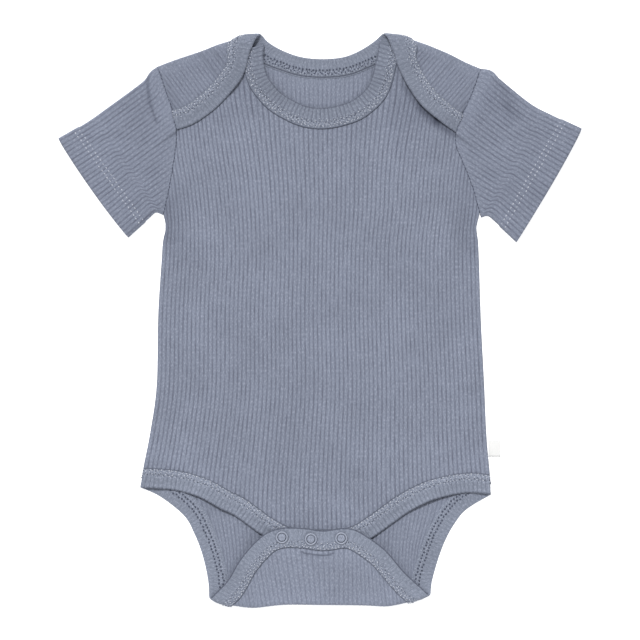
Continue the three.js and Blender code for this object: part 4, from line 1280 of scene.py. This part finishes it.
# %% Sew
def sew(name, line, spacing, length, radius, slant, swing, thread, jitter=0.3, seed=3):
    """A piece of stitches in millimetres. line is its points and the way the cloth faces at each."""
    points, facing = line
    mesh = bpy.data.meshes.new(name)
    mesh.from_pydata((points * MM).tolist(), [(i, i + 1) for i in range(len(points) - 1)], [])
    mesh.attributes.new("facing", "FLOAT_VECTOR", "POINT").data.foreach_set("vector", np.ravel(facing))
    piece = add_object(name, mesh)
    modifier = piece.modifiers.new("Stitching", "NODES")
    modifier.node_group = stitching
    values = {"Spacing": spacing * MM, "Stitch length": length * MM, "Thread radius": radius * MM,
              "Swing": swing * MM, "Slant": slant, "Jitter": jitter * MM, "Seed": seed, "Thread": thread}
    for item in stitching.interface.items_tree:
        if item.name in values:
            modifier[item.identifier] = values[item.name]
    bpy.context.view_layer.update()
    mesh = bpy.data.meshes.new_from_object(piece.evaluated_get(bpy.context.evaluated_depsgraph_get()))
    piece.modifiers.remove(modifier)
    co = np.empty(3 * len(mesh.vertices), np.float32)
    mesh.vertices.foreach_get("co", co)
    mesh.vertices.foreach_set("co", on_table(co.reshape(-1, 3)).ravel())
    piece.data = mesh
    threads[name] = piece
    print(name, "has", len(mesh.polygons), "faces")


def row_on(runs, s, face):
    """A row of stitches on a binding, s from its bend. face is 1 outside and -1 inside."""
    sink = INSIDE_SINK * ease((s - 11.5) / 2.5) if face < 0 else 0.0
    grid, out = swept(runs, [s], [face * (wall_height(np.array(s)) - sink + BAND_CLOTH / 2 + 0.02)])
    return grid[0], face * out[0]


def up_from(line):
    return line, np.tile([0.0, 0.0, 1.0], (len(line), 1))


def hem_row(name, reach):
    """A line across a sleeve's upper face, reach from its hem"""
    points, along, thick = sleeve_grids[name]
    line = []
    for c in range(4, SLEEVE_RIBS * RIB_STEPS - 3):
        at = [np.interp(reach, along[:, c], points[:, c, i]) for i in range(3)]
        line.append(at + np.array([0, 0, np.interp(reach, along[:, c], thick[:, c]) / 2]))
    return up_from(np.array(line))


def seam_row(name):
    """The armhole seam, over the sleeve's edge"""
    points = sleeve_grids[name][0]
    return up_from(points[-1, 2: SLEEVE_RIBS * RIB_STEPS - 1] + [0, 0, CLOTH / 2])

# %% Rows of stitches
# Each row of stitches: spacing, stitch length, radius, slant, swing and thread
HEM_STITCH = (3.1, 1.5, 0.36, 0.2, 0.0, pale_thread)
SEAM_STITCH = (2.6, 2.5, 0.34, 0.1, 0.0, dark_thread_and_gap_shade, 0.25)
OUTER_ROWS = {  # by their distance from the bend
    8.4: (2.5, 1.2, 0.30, 0.9, 0.55, light_thread),
    9.7: (2.3, 1.1, 0.32, 1.1, 0.45, pale_thread),
    10.8: (2.1, 1.3, 0.30, 1.2, 0.35, light_thread),
    11.9: (2.1, 1.1, 0.34, 1.0, 0.45, pale_thread),
    13.0: (2.5, 1.4, 0.34, 0.3, 0.15, pale_thread),
    9.0: (2.6, 0.9, 0.30, 0.6, 0.4, dark_thread_and_gap_shade),
    10.3: (1.8, 0.9, 0.34, 0.6, 0.4, dark_thread_and_gap_shade),
    12.5: (2.1, 0.9, 0.32, 0.6, 0.4, dark_thread_and_gap_shade),
}
NECK_INNER_ROWS = {
    7.9: (2.35, 1.5, 0.80, 0.5, 0.1, dark_thread_and_gap_shade),
    9.6: (1.7, 1.8, 0.27, 1.6, 0.3, light_thread),
    11.4: (1.9, 1.6, 0.27, 1.6, 0.3, light_thread),
    9.9: (1.6, 1.6, 0.42, 1.8, 0.6, dark_thread_and_gap_shade),
    10.8: (2.35, 1.3, 0.50, 0.6, 0.3, dark_thread_and_gap_shade),
}
LEG_INNER_ROWS = {
    7.4: (2.4, 1.7, 0.74, 0.5, 0.15, dark_thread_and_gap_shade),
    10.2: (2.4, 1.7, 0.74, 0.5, 0.15, dark_thread_and_gap_shade),
    8.8: (1.6, 1.8, 0.26, 1.6, 0.4, light_thread),
    11.6: (1.7, 1.5, 0.28, 1.3, 0.4, light_thread),
}


def sew_band(name, runs, rows, face, inset=0.0):
    for number, (s, stitch) in enumerate(rows.items()):
        sew(f"{name}_{number + 1}", row_on(runs, s + inset, face), *stitch, seed=number)


for name in sleeve_grids:
    sew("stitches_hem_low_" + name, hem_row(name, 11.6), *HEM_STITCH)
    sew("stitches_hem_high_" + name, hem_row(name, 15.0), *HEM_STITCH)
    sew("stitches_seam_" + name, seam_row(name), *SEAM_STITCH)
for name, runs in BINDINGS.items():
    sew_band("stitches_" + name, runs, OUTER_ROWS, 1)
sew_band("stitches_inside_neck", BINDINGS["neck_binding_back"][1:2], NECK_INNER_ROWS, -1)
sew_band("stitches_inside_leg_right", BINDINGS["leg_binding_back"][:1], LEG_INNER_ROWS, -1)
sew_band("stitches_inside_leg_left", BINDINGS["leg_binding_back"][2:], LEG_INNER_ROWS, -1, inset=1.2)

# %% [markdown]
# ## Snaps and label
#
# A ring snap is stamped from sheet metal: a lip rolled round a middle in which the cloth swells up. Spun
# round its axis, one small profile gives it. The label is a bit of white woven tape, folded double and
# sewn into the side seam. It stays bare.

# %% Lacquer and tape
def lacquer_material(name, colour):
    material, nodes = new_material(name)
    scuffs = nodes.noise(nodes.place(), 900.0, 3.0, 0.6)
    dark = tuple(0.86 * c for c in colour[:3]) + (1.0,)
    base = nodes.mixed(nodes.ranged(scuffs, 0.35, 0.7, 0.0, 1.0), dark, colour)
    # painted shadow at the foot of the lip, from the profile's third number
    base = nodes.mixed(nodes.times(nodes.attribute("crease"), 0.6), base, PAINTED_SHADE_COLOUR)
    look = {"Roughness": 0.42, "Coat Weight": 0.25, "Coat Roughness": 0.3}
    nodes.finish(look, base, scuffs, 0.15, 0.05)
    return material


def tape_material(name):
    material, nodes = new_material(name)
    across, along = nodes.add("ShaderNodeSeparateXYZ", nodes.place()).outputs[:2]
    warp = nodes.maths("SINE", nodes.times(across, 2 * math.pi / (0.35 * MM)))
    weft = nodes.maths("SINE", nodes.times(along, 2 * math.pi / (0.3 * MM)))
    weave = nodes.times(warp, weft)
    tone = nodes.ranged(weave, -1.0, 1.0, 0.0, 1.0)
    colour = nodes.mixed(tone, (0.80, 0.80, 0.79, 1.0), (0.90, 0.90, 0.89, 1.0))
    nodes.finish({"Roughness": 0.75, "Sheen Weight": 0.1}, colour, weave, 0.3, 0.08)
    return material


# painted light: a lighter copy of the binding's knit, for the cloth that bulges up towards the lamp in
# each snap
dome_knit_painted_light = knit_material("Dome knit, painted lighter", (0.285, 0.315, 0.395, 1.0), (0.11, 0.122, 0.165, 1.0))
snap_lacquer = lacquer_material("Snap lacquer", (0.34, 0.375, 0.47, 1.0))
label_tape = tape_material("Label tape")

# %% Snap rings
def spun(name, profile, centre, material, steps=40):
    """A closed profile of radius, height and shadow, turned round an upright axis"""
    angle = np.arange(steps) * 2 * np.pi / steps
    radius, height, painted_shade = np.array(profile).T
    x = centre[0] + np.multiply.outer(np.cos(angle), radius)
    y = centre[1] + np.multiply.outer(np.sin(angle), radius)
    z = np.broadcast_to(centre[2] + height, x.shape)
    points = np.stack([x, y, z], axis=-1).reshape(-1, 3)
    count = len(profile)
    at = np.arange(steps * count).reshape(steps, count)
    around, along = np.roll(at, -1, axis=0), np.roll(at, -1, axis=1)
    both = np.roll(around, -1, axis=1)
    faces = np.stack([at, around, both, along], axis=-1).reshape(-1, 4)
    uv = points[:, :2] / BAND_RIB
    flat, plain = np.zeros(len(points)), np.ones(len(points))
    shades = {"relief": flat, "crease": np.tile(painted_shade, steps), "tone": plain}
    return mesh_piece(name, points, faces, uv, shades, material)


# The third number of each row is painted shadow: dark rings at the lip's feet and round the dome's edge
LIP = [(3.0, 0.0, 1), (3.0, 0.3, 0.8), (3.2, 0.62, 0.2), (3.55, 0.82, 0), (3.9, 0.76, 0),
       (4.15, 0.5, 0.2), (4.3, 0.25, 0.9), (4.6, 0.1, 0.9), (4.65, 0.0, 0.9)]
DOME = [(0.03, 0.0, 0), (0.03, 0.6, 0), (0.9, 0.58, 0), (1.8, 0.5, 0), (2.5, 0.32, 0), (2.85, 0.0, 0.6)]
RING_LIFT = [1.0, 0.5, 0.5]  # how far up the flap each ring sits from the middle of its snap
snaps, domes = {}, {}
for number, (x, y) in enumerate(SNAP_PLACES, 1):
    ring = f"snap_ring_{number}"
    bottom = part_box(ring)[0][2] / MM
    centre = (x, y + RING_LIFT[number - 1], bottom)
    snaps[ring] = spun(f"snap_lip_{number}", LIP, centre, snap_lacquer)
    domes[ring] = spun(f"snap_cloth_{number}", DOME, centre, dome_knit_painted_light)
    print("snap", number, "sits", round(bottom, 2), "mm up")

for name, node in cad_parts.items():
    if name.startswith("snap_") and not name.startswith("snap_ring"):
        node.data.materials.clear()
        node.data.materials.append(snap_lacquer)

# %% Label
TAPE_HALF = 0.3  # half the height of the folded tape
TAPE_MIDDLE = 0.62  # how high its middle lies
TAPE_BOW = 0.25
low, high = (np.array(corner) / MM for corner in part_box("side_label"))
width = np.linspace(low[1], high[1], 9)
length = np.linspace(low[0], high[0] - 0.5, 12)
turn = np.radians(np.linspace(90, -90, 9))[1:-1]
tape_x = np.concatenate([length, high[0] - 0.5 + TAPE_HALF * np.cos(turn), length[::-1]])
tape_z = np.concatenate([np.full(12, TAPE_HALF), TAPE_HALF * np.sin(turn), np.full(12, -TAPE_HALF)])
bow = TAPE_BOW * np.sin(np.pi * (tape_x - low[0]) / (high[0] - low[0]))
tape_z = tape_z + TAPE_MIDDLE + bow
tape = np.stack([*np.meshgrid(tape_x, width, indexing="ij"),
                 tape_z[:, None] + 0.12 * np.sin(width / 2.1)], axis=2)
along = travel(np.stack([tape_x, tape_z], 1))[:, None]
label = cloth_shell("label", tape, 0.5, along, label_tape, thick=0.35, rib=0.0)

# %% [markdown]
# ## Floor, light and camera
#
# A garment is shot from straight above on white paper, with one large soft lamp at the top left and so
# much bounced light that shadows stay pale. The paper glows a little itself, so that it stays white.

# %% Stage
TABLE = 3.0  # metres
CAMERA_HEIGHT = 3.0
CLOTH_LEVEL = 0.002
VIEW_WIDTH = 0.448  # what the picture takes in, at the level of the cloth
PAPER_GLOW = 0.62  # strength of the paper's own light, and of the room's
BOUNCED_LIGHT = 0.40
floor_mesh = bpy.data.meshes.new("floor")
corners = [(-TABLE, -TABLE, 0), (TABLE, -TABLE, 0), (TABLE, TABLE, 0), (-TABLE, TABLE, 0)]
floor_mesh.from_pydata(corners, [], [(0, 1, 2, 3)])
floor = add_object("floor", floor_mesh)
paper, nodes = new_material("White paper")
nodes.finish({"Base Color": (0.9, 0.9, 0.9, 1.0), "Roughness": 0.9, "Specular IOR Level": 0.1,
              "Emission Color": (1.0, 1.0, 1.0, 1.0), "Emission Strength": PAPER_GLOW})
floor_mesh.materials.append(paper)
print("paper", 2 * TABLE, "m wide")

# %% Light
world = bpy.data.worlds.new("Studio")
scene.world = world
world.use_nodes = True
background = world.node_tree.nodes["Background"].inputs
background["Color"].default_value = (1.0, 1.0, 1.0, 1.0)
background["Strength"].default_value = BOUNCED_LIGHT


def softbox(name, place, size, power):
    """A square lamp that looks at the middle of the table"""
    lamp = bpy.data.lights.new(name, "AREA")
    lamp.shape = "SQUARE"
    lamp.size = size
    lamp.energy = power
    item = add_object(name, lamp)
    item.location = place
    x, y, z = -np.array(place)
    tilt, heading = math.atan2(z, math.hypot(x, y)), math.atan2(y, x)
    item.rotation_euler = (tilt + math.pi / 2, 0, heading - math.pi / 2)
    print(name, "lamp:", power, "W,", size, "m wide")


softbox("key", (-0.9, 3.0, 6.45), 1.5, 386.0)
softbox("fill", (0.3, -0.9, 1.6), 1.2, 4.5)

# %% Camera
lens = bpy.data.cameras.new("camera")
lens.sensor_fit = "HORIZONTAL"
lens.angle = 2 * math.atan(VIEW_WIDTH / 2 / (CAMERA_HEIGHT - CLOTH_LEVEL))
lens.clip_end = 20.0
camera = add_object("camera", lens)
camera.location = (0, 0, CAMERA_HEIGHT)
scene.camera = camera
scene.view_settings.view_transform = "Standard"
print("camera", CAMERA_HEIGHT, "m up")

# %% Ride
STANDS_FOR = {"front": "front_panel", "back": "back_panel"}  # the others are named as in the CAD model
for name, piece in pieces.items():
    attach(piece, "root")
    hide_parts(STANDS_FOR.get(name, name))
for name, piece in snaps.items():
    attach(piece, "root")
    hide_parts(name)
for piece in [*threads.values(), *domes.values()]:
    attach(piece, "root")
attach(label, "root")
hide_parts("side_label")
print(len(pieces), "cloth pieces,", len(threads), "rows of stitches,", len(snaps), "snaps and a label")
